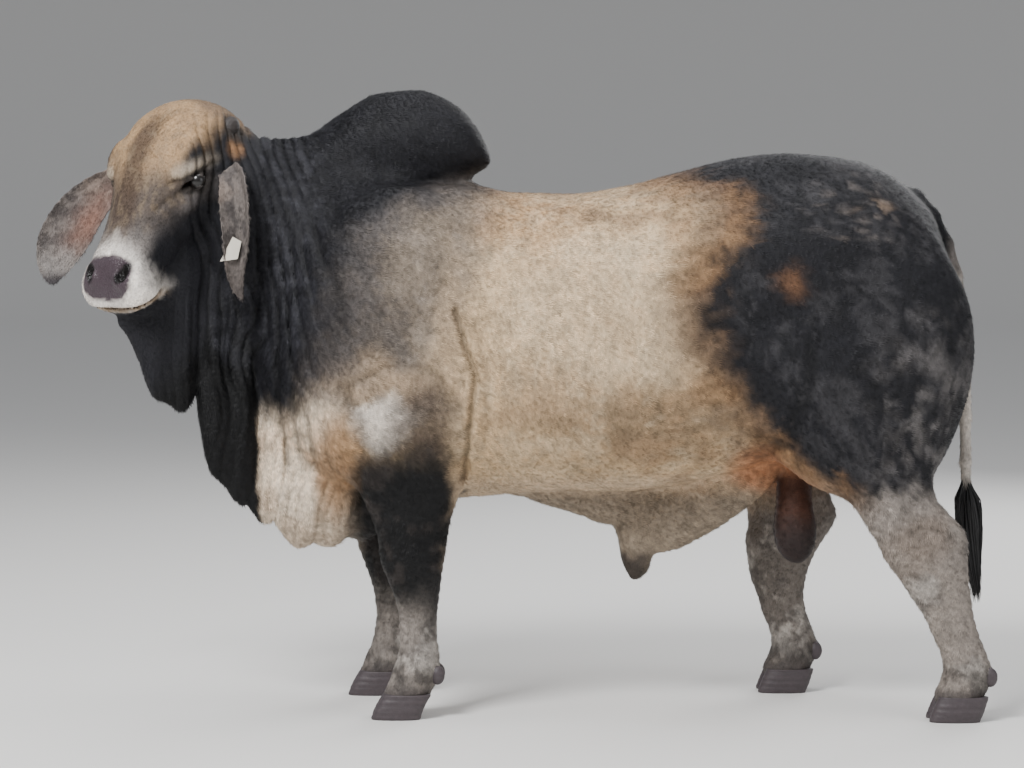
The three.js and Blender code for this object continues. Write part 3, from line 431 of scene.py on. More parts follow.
CREASES = [
    ([[-143, 1043], [-118, 955], [-93, 880], [-100, 817], [-111, 716], [-126, 615]], 12, 9),
    ([[-95, 1010], [-70, 900], [-62, 800], [-75, 700]], 4, 16),
    ([[-40, 1020], [-18, 900], [-14, 780]], 3, 18),
    ([[-455, 1290], [-405, 1200], [-360, 1120], [-330, 1040]], 4, 16),
    ([[-500, 1250], [-455, 1150], [-425, 1040], [-400, 940]], 4, 18),
    ([[-345, 1545], [-352, 1480], [-345, 1420], [-330, 1370]], 4, 16),
    ([[-300, 1350], [-210, 1372], [-120, 1358], [-60, 1335]], 5, 14),
    ([[-290, 1318], [-200, 1335], [-110, 1322]], 3, 14),
    ([[-430, 850], [-380, 780], [-370, 700], [-390, 620]], 6, 18),
    ([[640, 660], [700, 740], [740, 850], [750, 960]], 7, 24),
    ([[-600, 900], [-592, 760], [-575, 640]], 7, 9),
    ([[-560, 850], [-552, 740], [-540, 630]], 6, 9),
    ([[-520, 810], [-512, 720], [-500, 630]], 6, 9),
    ([[-475, 760], [-470, 690], [-455, 640]], 5, 10),
    ([[900, 560], [940, 640], [975, 740]], 5, 20),
    ([[-417, 807], [-400, 857], [-317, 905], [-205, 897], [-142, 832]], 5, 12),
    ([[-400, 900], [-330, 950], [-220, 945], [-130, 890]], 3, 14),
    ([[1000, 480], [1060, 500], [1120, 470]], 4, 14),
    ([[560, 650], [640, 690], [720, 700]], 5, 16),
]


def line_distance(x, z, line):
    best = np.full(len(x), 1e6)
    for (ax, az), (bx, bz) in zip(line[:-1], line[1:]):
        dx, dz = bx - ax, bz - az
        t = np.clip(((x - ax) * dx + (z - az) * dz) / (dx * dx + dz * dz), 0, 1)
        best = np.minimum(best, np.hypot(x - ax - dx * t, z - az - dz * t))
    return best


lattice = np.random.default_rng(7).random((32, 32, 32)).astype(np.float32)


def noise(x, y, z, size):
    """Smooth noise from 0 to 1 whose patches are about size millimetres across."""
    out = 0
    parts = []
    for v in (x, y, z):
        v = v / size + 100.0
        i = np.floor(v).astype(np.int64)
        t = v - i
        parts.append((i, t * t * (3 - 2 * t)))
    (i, tx), (j, ty), (k, tz) = parts
    for a in (0, 1):
        for b in (0, 1):
            for c in (0, 1):
                weight = (tx if a else 1 - tx) * (ty if b else 1 - ty) * (tz if c else 1 - tz)
                out = out + weight * lattice[(i + a) % 32, (j + b) % 32, (k + c) % 32]
    return out


def valley(phase):
    """Rounded folds with narrow valleys between them, 0 on a fold and 1 in a valley."""
    return (1 - np.abs(np.sin(phase))) ** 2


def detail(p):
    """What the wrinkles and folds take off the flesh, in millimetres."""
    x, y, z = p[:, 0], p[:, 1], p[:, 2]
    side = np.abs(y)
    warp = noise(x, y, z, 130) - 0.5
    out = 1.6 * (noise(x, y, z, 42) - 0.2).clip(0)
    on_neck = smooth(x, -835, -770) * smooth(x, -400, -560) * smooth(z, 700, 950) * smooth(z, 1600, 1480)
    phase = (x + 0.10 * (z - 1200) + 60 * warp + 0.5 * y) * math.pi / 31
    out += 11.0 * on_neck * valley(phase) * (0.45 + 0.8 * noise(x, y, z, 90))
    on_shoulder = smooth(x, -520, -420) * smooth(x, -120, -260) * smooth(z, 850, 1000) * smooth(z, 1380, 1250)
    phase = (x + 0.55 * (z - 1100) + 70 * warp) * math.pi / 46
    out += 2.6 * on_shoulder * valley(phase)
    on_side = smooth(x, -120, -20) * smooth(x, 330, 120) * smooth(z, 620, 760) * smooth(z, 1330, 1200)
    out += 1.5 * on_side * valley((x - 0.12 * (z - 900) + 50 * warp) * math.pi / 40)
    on_dewlap = smooth(x, -1050, -960) * smooth(x, -180, -400) * smooth(z, 1180, 1020) * (side < 240) * (x < -150)
    phase = (x + 0.55 * y + 45 * warp) * math.pi / 27
    out += 5.5 * on_dewlap * valley(phase)
    leg = smooth(z, 640, 520) * smooth(z, 90, 170)
    out += 3.6 * leg * valley((z + 30 * warp + 0.3 * x) * math.pi / 24) * (0.3 + 0.9 * noise(x, y, z, 60))
    sheath_skin = (x > 150) & (x < 640) & (side < 90) & (z < 620)
    out += 2.2 * sheath_skin * valley((x + 0.5 * z + 40 * warp) * math.pi / 23)
    for line, depth, width in CREASES:
        box = (
            (x > min(q[0] for q in line) - 60) & (x < max(q[0] for q in line) + 60)
            & (z > min(q[1] for q in line) - 60) & (z < max(q[1] for q in line) + 60) & (side > 60)
        )
        if box.any():
            out[box] += depth * np.exp(-(line_distance(x[box], z[box], line) / width) ** 2)
    near_head = (x < -600) & (z > 930)
    if near_head.any():
        out[near_head] += head_detail(x[near_head], y[near_head], z[near_head])
    return out


FACE_LINES = [
    # along and up on the head's side, depth, width
    ([[240, 2], [206, -12], [170, -34], [134, -56]], 5.5, 6.5),
    ([[222, -26], [240, -30], [272, -18], [312, -8]], 4.5, 7),
    ([[180, -58], [165, -72], [148, -82]], 3, 6),
    ([[242, -42], [205, -66], [176, -86]], 2.5, 6),
    ([[300, -60], [330, -95], [352, -130]], 3, 14),
    ([[262, -60], [300, -86], [330, -120]], 2, 12),
    ([[455, -14], [452, -50], [470, -92]], 2, 9),
]


def head_detail(x, y, z):
    along, side, up = in_head(x, y, z)
    s = np.abs(side)
    out = np.zeros(len(x))
    for line, depth, width in FACE_LINES:
        out += depth * np.exp(-(line_distance(along, up, line) / width) ** 2) * smooth(s, 40, 70)
    cheek = smooth(along, 60, 140) * smooth(along, 330, 260) * smooth(s, 60, 90)
    out += 1.6 * cheek * valley((along + up) * math.pi / 19)
    return out


def skin_level(p):
    """The skin's surface, which lies under the flesh's by the coat's depth."""
    return flesh(p) + detail(p) + COAT_DEPTH


# Meshes from the distance function

def grid_line(*spans):
    """Grid places through spans of (start, end, step)."""
    out = [spans[0][0]]
    for _, end, step in spans:
        count = max(int(round((end - out[-1]) / step)), 1)
        out.extend(np.linspace(out[-1], end, count + 1)[1:])
    return np.array(out)


def band_values(distance, lines):
    """Grid values, exact near the surface and only signed away from it."""
    step = 4
    picks = [np.minimum(np.arange(0, len(line) + step, step), len(line) - 1) for line in lines]
    points = np.stack(np.meshgrid(*[line[pick] for line, pick in zip(lines, picks)], indexing="ij"), -1)
    shape = points.shape[:3]
    rough = distance(points.reshape(-1, 3)).reshape(shape)
    reach = step * 2 * max(np.diff(line).max() for line in lines)
    owner = [
        np.minimum((np.arange(len(line)) + step // 2) // step, len(pick) - 1) for line, pick in zip(lines, picks)
    ]
    whole = np.ix_(*owner)
    values = rough[whole].astype(np.float32)
    index = np.argwhere(np.abs(values) < reach)
    for start in range(0, len(index), 400000):
        part = index[start : start + 400000]
        at = np.stack([lines[c][part[:, c]] for c in range(3)], 1)
        values[tuple(part.T)] = distance(at)
    return values


def surface(distance, lines):
    """One vertex for each grid cell the surface crosses, pulled onto it, and a quad for each crossed edge."""
    v = band_values(distance, lines)
    for axis in range(3):
        edge = [slice(None)] * 3
        for end in (0, -1):
            edge[axis] = end
            v[tuple(edge)] = 5
    inside = v < 0
    cells = tuple(n - 1 for n in v.shape)
    total = np.zeros(cells + (3,), np.float32)
    count = np.zeros(cells, np.float32)
    crossings = []
    for axis in range(3):
        a = [slice(None)] * 3
        b = [slice(None)] * 3
        a[axis], b[axis] = slice(0, -1), slice(1, None)
        va, vb = v[tuple(a)], v[tuple(b)]
        crossed = inside[tuple(a)] != inside[tuple(b)]
        t = np.where(crossed, va / np.where(crossed, va - vb, 1), 0)
        crossings.append(crossed)
        u, w = (axis + 1) % 3, (axis + 2) % 3
        for du in (0, 1):
            for dw in (0, 1):
                part = [slice(None)] * 3
                part[u] = slice(du, du + cells[u])
                part[w] = slice(dw, dw + cells[w])
                hit = crossed[tuple(part)]
                count += hit
                total[..., axis] += t[tuple(part)] * hit
                total[..., u] += du * hit
                total[..., w] += dw * hit
    active = count > 0
    number = np.full(cells, -1, np.int64)
    number[active] = np.arange(active.sum())
    where = np.argwhere(active)
    share = total[active] / count[active][:, None]
    steps = [np.diff(line) for line in lines]
    sizes = np.stack([steps[c][where[:, c]] for c in range(3)], 1)
    points = np.stack([lines[c][where[:, c]] for c in range(3)], 1) + share * sizes
    quads = []
    for axis in range(3):
        u, w = (axis + 1) % 3, (axis + 2) % 3
        at = np.argwhere(crossings[axis])
        at = at[(at[:, u] > 0) & (at[:, w] > 0) & (at[:, u] < cells[u]) & (at[:, w] < cells[w])]
        eu, ew = np.eye(3, dtype=int)[u], np.eye(3, dtype=int)[w]
        ring = [number[tuple((at - shift).T)] for shift in (eu + ew, ew, 0 * eu, eu)]
        quad = np.stack(ring, 1)
        flip = ~inside[tuple(at.T)]
        quad[flip] = quad[flip][:, ::-1]
        quads.append(quad)
    cell = sizes.min(1)[:, None]
    for _ in range(3):
        d = distance(points)
        slope = np.stack([(distance(points + 1.0 * e) - d) for e in np.eye(3)], 1)
        square = np.maximum((slope ** 2).sum(1), 0.3)
        points -= np.clip(d[:, None] * slope / square[:, None], -0.3 * cell, 0.3 * cell)
    return points, np.concatenate(quads)


def skin_lines(quick):
    """Grid places for the skin, closest together on the head."""
    k = 2.0 if quick else 1.0
    return [
        grid_line((-1120, -1060, 7 * k), (-1060, -720, 4.6 * k), (-720, -560, 6.5 * k), (-560, 1240, 8.4 * k)),
        grid_line((-410, -300, 6.5 * k), (-300, 60, 6.2 * k), (60, 410, 7.5 * k)),
        grid_line((30, 160, 6 * k), (160, 640, 7.6 * k), (640, 1080, 8.2 * k), (1080, 1640, 6.2 * k)),
    ]


# Ears, claws and other small bodies as rings of points

def closed_rings(rings):
    """Points and quads of a body through equal rings, closed at both ends with fans."""
    rings = np.array(rings)
    rows, n = rings.shape[:2]
    points = rings.reshape(-1, 3).tolist()
    faces = []
    for i in range(rows - 1):
        for j in range(n):
            a, b = i * n + j, i * n + (j + 1) % n
            faces.append((a, b, b + n, a + n))
    for i, flip in ((0, True), (rows - 1, False)):
        points.append(rings[i].mean(0).tolist())
        for j in range(n):
            a, b = i * n + j, i * n + (j + 1) % n
            faces.append((b, a, len(points) - 1) if flip else (a, b, len(points) - 1))
    return np.array(points), faces


def signed_volume(points, faces):
    total = 0.0
    for face in faces:
        for b, c in zip(face[1:-1], face[2:]):
            total += float(np.dot(points[face[0]], np.cross(points[b], points[c])))
    return total


def outward(points, faces):
    return (points, faces) if signed_volume(points, faces) > 0 else (points, [tuple(reversed(f)) for f in faces])


def gather(bodies):
    """Several bodies' points and faces as one list of each."""
    points, faces, at = [], [], 0
    for one_points, one_faces in bodies:
        points.append(one_points)
        faces.extend(tuple(v + at for v in face) for face in one_faces)
        at += len(one_points)
    return np.concatenate(points), faces


def through(rows, count):
    """Rows brought to count stations along a smooth curve through them."""
    rows = np.array(rows, dtype=np.float64)
    at = np.linspace(0, len(rows) - 1, count)
    i = np.clip(at.astype(int), 0, len(rows) - 2)
    t = (at - i)[:, None]
    before = rows[np.maximum(i - 1, 0)]
    after = rows[np.minimum(i + 2, len(rows) - 1)]
    a, b = rows[i], rows[i + 1]
    ta, tb = (b - before) / 2, (after - a) / 2
    t2, t3 = t * t, t * t * t
    return a * (2 * t3 - 3 * t2 + 1) + ta * (t3 - 2 * t2 + t) + b * (3 * t2 - 2 * t3) + tb * (t3 - t2)


# Ears: rows of x, y, z, half width, cup depth, thickness

NEAR_EAR = [
    (-716, -196, 1392, 30, 14, 30), (-696, -222, 1362, 36, 26, 22), (-687, -236, 1310, 40, 34, 16),
    (-682, -240, 1250, 38, 36, 14), (-684, -238, 1190, 33, 32, 13), (-688, -236, 1140, 26, 24, 12),
    (-686, -236, 1098, 17, 14, 11), (-680, -238, 1070, 5, 3, 9),
]
FAR_EAR = [
    (-968, -22, 1392, 30, 12, 34), (-1012, -12, 1372, 38, 18, 28), (-1060, 0, 1338, 54, 26, 21),
    (-1106, 4, 1290, 68, 32, 17), (-1140, 2, 1240, 74, 32, 14), (-1168, -6, 1190, 68, 28, 13),
    (-1184, -16, 1148, 50, 20, 12), (-1190, -24, 1120, 28, 10, 11), (-1190, -28, 1106, 10, 3, 9),
]
NEAR_EAR_ACROSS = (1.0, -0.35, 0.0)
FAR_EAR_ACROSS = (0.75, -0.35, -0.55)
EAR_BEND = 1.15


def ear(rows, across, stations=60, steps=14, less=1.5):
    """A cupped leaf with a closed rim, thinner and narrower than the solid by less."""
    rows = through(rows, stations)
    rings = []
    for i, (x, y, z, half, cup, thick) in enumerate(rows):
        way = rows[min(i + 1, stations - 1), :3] - rows[max(i - 1, 0), :3]
        way /= np.linalg.norm(way)
        side = np.array(across) - way * np.dot(across, way)
        side /= np.linalg.norm(side)
        face = np.cross(way, side)
        half = max(half - less - 1.2 * math.sin(i * 1.9), 2)
        thick = max(thick - 2 * less, 2.5)
        ring = []
        for k in range(4 * steps):
            front = k < 2 * steps
            share = -1 + k / steps if front else 1 - (k - 2 * steps) / steps
            bend = share * EAR_BEND
            wide = half * math.sin(bend) / math.sin(EAR_BEND)
            deep = cup * (1 - math.cos(bend)) * 1.7
            deep += (1 if front else -1) * thick / 2 * math.sqrt(1.04 - share * share)
            if front:
                ridges = 1.4 * math.sin(share * 11) * math.exp(-((share / 0.6) ** 2))
                deep += ridges * smooth(i / stations, 0.95, 0.4)
            ring.append(np.array([x, y, z]) + side * wide + face * deep)
        rings.append(ring)
    return outward(*closed_rings(rings))


FORE_CLAW = [(0, -232, -360, 28), (22, -226, -352, 30), (44, -216, -340, 29.5), (63.85, -206, -329, 28)]
HIND_CLAW = [(0, 1188, 1057, 28), (22, 1196, 1064, 30), (44, 1203, 1073, 29.5), (63.85, 1208, 1081, 28)]
CLAW_APART = 31.0
CLAW_TOP = 63.7
CLAW_RINGS, CLAW_SIDES = 30, 56


def claw(rows, middle, step, seed):
    """A claw with growth rings, worn round at the toe."""
    at = station_curve(rows)
    rings = []
    for z in np.linspace(0.0, CLAW_TOP, CLAW_RINGS):
        heel, toe, half = at(np.array([z]))
        heel, toe, half = float(heel[0]), float(toe[0]), float(half[0])
        ridge = 0.3 * math.sin(z * 0.47 + seed) + 0.2 * math.sin(z * 1.1 + 2 * seed) - 0.7
        ridge -= 1.6 * math.exp(-z / 2.2)
        ring = []
        for k in range(CLAW_SIDES):
            turn = k / CLAW_SIDES * 2 * math.pi
            c, s = math.cos(turn), math.sin(turn)
            x = (heel + toe) / 2 + ((heel - toe) / 2 + ridge) * math.copysign(abs(c) ** 0.8, c) + step
            ring.append((x, middle + (half + ridge) * math.copysign(abs(s) ** 0.8, s), z))
        rings.append(ring)
    return outward(*closed_rings(rings))


def lump(centre, radii, axes, wide, tall, wave=0.0):
    """An egg in the given axes, with faint rings round its second axis."""
    rx, ry, rz = radii
    points, faces = [], []
    for i in range(tall + 1):
        v = math.pi * i / tall
        r = 1 + wave * math.sin(i * 1.7)
        for k in range(wide):
            u = 2 * math.pi * k / wide
            local = (rx * math.sin(v) * math.cos(u) * r, ry * math.cos(v) * r, rz * math.sin(v) * math.sin(u) * r)
            points.append(centre + sum(a * s for a, s in zip(axes, local)))
    for i in range(tall):
        for k in range(wide):
            a, b = i * wide + k, i * wide + (k + 1) % wide
            faces.append((a, b, b + wide, a + wide))
    return outward(np.array(points), faces)


HEAD_AXES = (HEAD_ALONG, HEAD_SIDE, HEAD_UP)
WORLD_AXES = tuple(np.eye(3))
BUD_RADII = (31, 21, 25)
SPUR_RADII = (18.5, 13.5, 24.5)


# Meshes in Blender

def mesh_object(name, points, faces, material, clean=False):
    mesh = bpy.data.meshes.new(name)
    mesh.from_pydata(to_row(points).tolist(), [], faces if isinstance(faces, list) else faces.tolist())
    mesh.validate()
    if clean:
        work = bmesh.new()
        work.from_mesh(mesh)
        bmesh.ops.remove_doubles(work, verts=work.verts, dist=1e-6)
        work.to_mesh(mesh)
        work.free()
    mesh.materials.append(material)
    mesh.polygons.foreach_set("use_smooth", np.ones(len(mesh.polygons), dtype=bool))
    mesh.update()
    obj = bpy.data.objects.new(name, mesh)
    bpy.context.scene.collection.objects.link(obj)
    return obj


def vertex_places(mesh):
    """The mesh's vertices in design millimetres."""
    flat = np.empty(len(mesh.vertices) * 3)
    mesh.vertices.foreach_get("co", flat)
    return flat.reshape(-1, 3) * 1000 - SHIFT


def add_markings(obj, painter):
    """Store each vertex's colour, with the damp skin's share as its alpha."""
    colours = np.ones((len(obj.data.vertices), 4), np.float32)
    places = vertex_places(obj.data)
    colours[:, :3] = painter(places)
    colours[:, 3] = bare_skin(places)
    layer = obj.data.color_attributes.new("markings", "FLOAT_COLOR", "POINT")
    layer.data.foreach_set("color", colours.ravel())


def add_unwrap(obj):
    """Flat tiles by the way each face looks and the side of the body it is on."""
    mesh = obj.data
    normals = np.empty(len(mesh.polygons) * 3)
    centres = np.empty(len(mesh.polygons) * 3)
    mesh.polygons.foreach_get("normal", normals)
    mesh.polygons.foreach_get("center", centres)
    normals, centres = normals.reshape(-1, 3), centres.reshape(-1, 3)
    axis = np.abs(normals).argmax(1)
    ahead = normals[np.arange(len(axis)), axis] > 0
    tile = axis * 4 + ahead * 2 + (centres[:, 1] > 0)
    sizes = np.empty(len(mesh.polygons), np.int32)
    mesh.polygons.foreach_get("loop_total", sizes)
    corner_tile, corner_axis = np.repeat(tile, sizes), np.repeat(axis, sizes)
    corners = np.empty(len(mesh.loops), np.int32)
    mesh.loops.foreach_get("vertex_index", corners)
    places = vertex_places(mesh)[corners] / 1000
    first = np.where(corner_axis == 0, places[:, 1] + 0.9, places[:, 0] + 1.3)
    second = np.where(corner_axis == 2, places[:, 1] + 0.9, places[:, 2])
    uv = np.stack([(first / 2.7 + corner_tile % 4) / 4, (second / 1.9 + corner_tile // 4) / 3], 1)
    layer = mesh.uv_layers.new(name="Unwrap")
    layer.data.foreach_set("uv", uv.astype(np.float32).ravel())


# The coat's colours, as soft patches over the body

def rgb(text):
    """A colour name of six hex digits as linear values."""
    values = np.array([int(text[i : i + 2], 16) / 255 for i in (0, 2, 4)])
    return np.where(values <= 0.04045, values / 12.92, ((values + 0.055) / 1.055) ** 2.4)


TONES = {
    # name: label, where it shows, tone
    "slate": ("Slate", "Hump, neck and rump", "19191d"),
    "black": ("Black", "Throat, dewlap and forelegs", "0f0f10"),
    "smoke": ("Smoke", "Rear of the forelegs", "2c2a2a"),
    "cream": ("Cream", "Ground tone of the barrel", "c2a783"),
    "bright": ("Bright cream", "Middle of the barrel", "d2bb9b"),
    "tan": ("Tan", "Shoulder top and brisket", "a07a53"),
    "brown": ("Brown", "Edge of the dark rump", "5d4636"),
    "shoulder": ("Shoulder", "Grey of the shoulder", "6d655e"),
    "white": ("White", "Patch on the shoulder", "d5cbbf"),
    "pale_leg": ("Pale leg", "Cannons and hocks", "867e77"),
    "forehead": ("Forehead", "Tan of the forehead", "94795a"),
    "muzzle": ("Muzzle", "Ring round the nose", "ded7cf"),
    "nose": ("Nose", "Damp pad of the nose", "3c3338"),
    "sheath": ("Sheath", "Sheath below the belly", "8c7e6d"),
    "purse": ("Scrotum", "Upper part of the scrotum", "42291f"),
    "groin": ("Groin", "Bare skin of the groin", "b07a56"),
    "horn": ("Horn", "Horn scars", "2c2624"),
    "hoof": ("Hoof", "Claws and dewclaws", "453d40"),
    "eye": ("Eye", "Eyes", "0c0807"),
    "tag": ("Tag", "Blank ear tag", "d9d2c4"),
    "switch": ("Tail switch", "Long hair of the tail", "121113"),
}

# Borders of the dark parts seen from the side: rows of height, place along the body

FRONT_BORDER = [
    (400, -640), (700, -622), (780, -590), (840, -545), (995, -470), (1245, -440), (1330, -300), (1400, -120),
    (1440, 20),
]
RUMP_BORDER = [
    (380, 1250), (470, 990), (570, 850), (670, 700), (820, 590), (970, 515), (1095, 480), (1220, 560), (1320, 580),
    (1395, 440), (1440, 420),
]


def patch(x, z, cx, cz, rx, rz, edge=0.35, tilt=0.0):
    """1 inside a side-view oval, fading to 0 past its edge."""
    c, s = math.cos(math.radians(tilt)), math.sin(math.radians(tilt))
    dx, dz = x - cx, z - cz
    r = np.hypot((c * dx + s * dz) / rx, (c * dz - s * dx) / rz)
    return 1 - smooth(r, 1 - edge, 1 + edge)


def over(colours, amount, tone):
    """The colours covered by a tone, linear or as hex digits, as far as amount says."""
    amount = np.clip(amount, 0, 1)[:, None]
    return colours * (1 - amount) + (rgb(tone) if isinstance(tone, str) else tone) * amount


def border(z, rows):
    """Where a dark part ends along the body, at each height."""
    heights, places = zip(*rows)
    return np.interp(z, heights, places)


def markings(p, tones):
    """The hide's colour at each point, in linear values, with painted shade in the creases, on the far hind leg, in
    the nostrils and along the mouth's slit, and a painted highlight between the creases on the front of the body.
    """
    x, y, z = p[:, 0], p[:, 1], p[:, 2]
    side = np.abs(y)
    n1 = noise(x, y, z, 190) - 0.5
    n2 = noise(x, y, z, 70) - 0.5
    n3 = noise(x, y, z, 26) - 0.5
    n4 = noise(x, y, z, 11) - 0.5
    wx = x + 110 * n1 + 60 * n2 + 20 * n3
    wz = z + 90 * n1 + 50 * n2 + 18 * n3
    rough = 60 * n3 + 50 * n4
    c = np.tile(tones.cream, (len(p), 1))
    # barrel
    c = over(c, 0.8 * patch(wx, wz, 240, 1040, 290, 200, 0.6), tones.bright)
    c = over(c, 0.75 * smooth(wz, 1250, 1370), "80664d")
    c = over(c, 0.6 * smooth(n2 + n3, -0.1, 0.2) * smooth(wz, 1210, 1310), "6a5646")
    c = over(c, 0.5 * patch(wx, wz, 10, 1270, 150, 80, 0.7), tones.tan)
    c = over(c, 0.7 * patch(wx, wz, 320, 745, 230, 100, 0.8), "6b5845")
    c = over(c, 0.5 * patch(wx, wz, 90, 860, 130, 60, 0.8), "9a8064")
    c = over(c, 0.35 * smooth(n2, 0.02, 0.25) * smooth(wz, 1150, 800), "8d755c")
    c = over(c, 0.4 * smooth(n2 + n3, 0.05, 0.35) * smooth(wx, 160, 420), "8a6b4d")
    c = over(c, 0.3 * smooth(n3 + 0.8 * n4, 0.05, 0.3), "9c8263")
    c = over(c, 0.3 * smooth(-n2 - 0.8 * n4, 0.05, 0.3), "d6c3a6")
    c = over(c, 0.5 * smooth(z, 640, 590), "b8a590")
    # rump and thigh, with a brown edge
    away = border(z, RUMP_BORDER) + 90 * n1 + 70 * n2 + rough
    c = over(c, 0.85 * smooth(x - away, -190, -20), tones.brown)
    c = over(c, 0.4 * smooth(n2, 0.0, 0.2) * smooth(x - away, -250, -60), "80603f")
    c = over(c, smooth(x - away, -60, 55), tones.slate)
    c = over(c, 0.75 * patch(wx, wz, 695, 1105, 36, 36, 0.7), "6b4c36")
    frost = smooth(n3 + 0.6 * n2 + 0.5 * n4, -0.1, 0.4) * patch(x, z, 1050, 760, 130, 240, 0.7)
    c = over(c, 0.3 * frost, "8b8581")
    c = over(c, 0.2 * smooth(n4 + 0.4 * n3, 0.1, 0.3) * patch(x, z, 860, 1290, 110, 90, 0.6), "94867a")
    c = over(c, 0.45 * smooth(n3, 0.05, 0.25) * patch(x, z, 915, 1300, 40, 20, 0.6), "a08a76")
    c = over(c, 0.2 * smooth(n2 + n4, 0.0, 0.3) * smooth(x - away, 0, 100), "5c5a5c")
    # shoulder
    ahead = border(z, FRONT_BORDER) + 70 * n1 + 40 * n2 + rough * 0.6
    grey = smooth(wx - 0.25 * (z - 1000), -50, -230) * smooth(wz, 640, 800)
    c = over(c, 0.85 * grey, tones.shoulder)
    c = over(c, 0.5 * smooth(n2 + 0.6 * n4, -0.05, 0.25) * grey, "57524f")
    c = over(c, 0.35 * smooth(n3 + 0.6 * n4, 0.0, 0.3) * grey, "8d8378")
    c = over(c, 0.7 * patch(wx, wz, -330, 870, 170, 70, 0.6, -10), "a58e74")
    c = over(c, 0.5 * patch(wx, wz, -150, 960, 40, 210, 0.7, 8), "b59d80")
    c = over(c, 0.75 * smooth(x - ahead - 60 * n2, 260, 20) * smooth(wz, 800, 900), "403e40")
    c = over(c, smooth(x - ahead, 95, -45), tones.slate)
    c = over(c, 0.9 * patch(x + 70 * n2 + 20 * n3, z + 60 * n2 + 30 * n3, -340, 752, 80, 70, 0.2, 20), tones.white)
    # forelegs: black above, pale and mottled below
    leg = smooth(x, 120, 40)
    arch = 690 - 0.0010 * (x + 260 + 80 * (y > 0)) ** 2 + 60 * n2 + 0.5 * rough
    black = leg * smooth(z - arch, 70, -70) * smooth(x, -500, -440) * smooth(x + 60 * n2, -110, -190)
    c = over(c, 0.8 * leg * patch(x + 60 * n3, z + 60 * n2, -215, 740, 85, 110, 0.6) * (y < 0), "463b34")
    c = over(c, black, "2d2826")
    c = over(c, black * (1 - 0.7 * smooth(n2 + n3, 0.0, 0.3)), tones.black)
    pale = smooth(z + 70 * n2 + 0.6 * rough, 350, 190) * leg
    c = over(c, 0.95 * pale, tones.pale_leg)
    rear = leg * smooth(x + 60 * n2, -245, -195)
    c = over(c, 0.7 * rear * smooth(wz, 130, 200) * smooth(z, 420, 300), tones.smoke)
    # hind legs: pale below the thigh
    hind = smooth(x, 380, 460)
    start = 560 + 0.25 * (x - 950) + 60 * n1 + 40 * n2 + rough * 0.5
    c = over(c, 0.95 * hind * smooth(z - start, 40, -50), tones.pale_leg)
    # Painted shade: the far hind leg is darker below the thigh.
    c = over(c, 0.55 * hind * (y > 0) * smooth(z, 700, 560), "4a4440")
    shins = (pale + hind) * smooth(z, 520, 430)
    c = over(c, 0.6 * shins * smooth(n2 + 0.6 * n3, 0.0, 0.2), "514c49")
    c = over(c, 0.35 * shins * smooth(n4, 0.05, 0.3), "7d766f")
    c = over(c, 0.35 * shins * smooth(n2 + 0.4 * n4, 0.05, 0.3), "c9c2b9")
    c = over(c, 0.45 * hind * patch(wx, wz, 1040, 470, 60, 60, 0.6), "6f5f52")
    fetlocks = (leg + hind) * smooth(z + 60 * n3 + 40 * n2, 165, 120)
    c = over(c, 0.7 * fetlocks * smooth(n2 + n3, -0.25, 0.15), "35312f")
    c = over(c, 0.8 * (leg + hind) * smooth(z, 92, 74), "4a4442")
    # dewlap, throat and neck
    brisket = smooth(x + 16 * n3, -660, -648) * smooth(x, -380, -500) * smooth(wz, 830, 760)
    c = over(c, brisket, "cbbba7")
    c = over(c, 0.5 * brisket * smooth(n2, 0.0, 0.2), "b09a84")
    c = over(c, 0.75 * patch(wx, wz, -455, 640, 70, 120, 0.5), tones.tan)
    c = over(c, smooth(x + 16 * n3, -648, -664) * smooth(z, 1020, 900), tones.black)
    c = over(c, 0.5 * smooth(n3, 0.0, 0.25) * smooth(x, -430, -560) * smooth(z, 850, 950), "313136")
    # groin, sheath and purse
    c = over(c, 0.8 * smooth(side, 230, 140) * patch(x, z, 690, 640, 130, 90), tones.groin)
    c = over(c, smooth(side, 95, 75) * smooth(z, 590, 540) * smooth(x, -60, 40) * smooth(x, 700, 600), tones.sheath)
    tip = smooth(side, 95, 75) * smooth(z + 40 * n3, 440, 380) * smooth(x, 240, 270) * smooth(x, 400, 330)
    c = over(c, 0.9 * tip, "2f2a28")
    bag = smooth(side, 110, 95) * smooth(x, 670, 690) * smooth(x, 815, 800) * smooth(z, 640, 590)
    c = over(c, bag, tones.purse)
    c = over(c, 0.9 * bag * smooth(wz, 560, 450), "262020")
    # tail
    on_tail = smooth(x, 1120, 1142) * smooth(side + 20 * n3, 52, 34) * smooth(z, 1250, 1180)
    c = over(c, on_tail, "6d6763")
    c = over(c, 0.95 * on_tail * smooth(z, 1170, 1060), "bdb5ac")
    c = over(c, on_tail * smooth(z, 620, 560), tones.black)
    n5 = noise(x, y, z, 7.5) - 0.5
    c = c * (1 + 0.55 * (n5 + 0.6 * n4) + 0.35 * n3 * smooth(z, 200, 700))[:, None]
    c = head_markings(c, p, n1, n2, n3, tones)
    # Painted shade darkens the creases and folds; a painted highlight lightens the skin between them on the front
    # of the body.
    folds = smooth(detail(p), 1.5, 9)
    fold_highlight = smooth(x, -400, -560) * (1 - folds) * smooth(z, 500, 620)
    return c * (1 - 0.45 * folds + 0.25 * fold_highlight)[:, None]


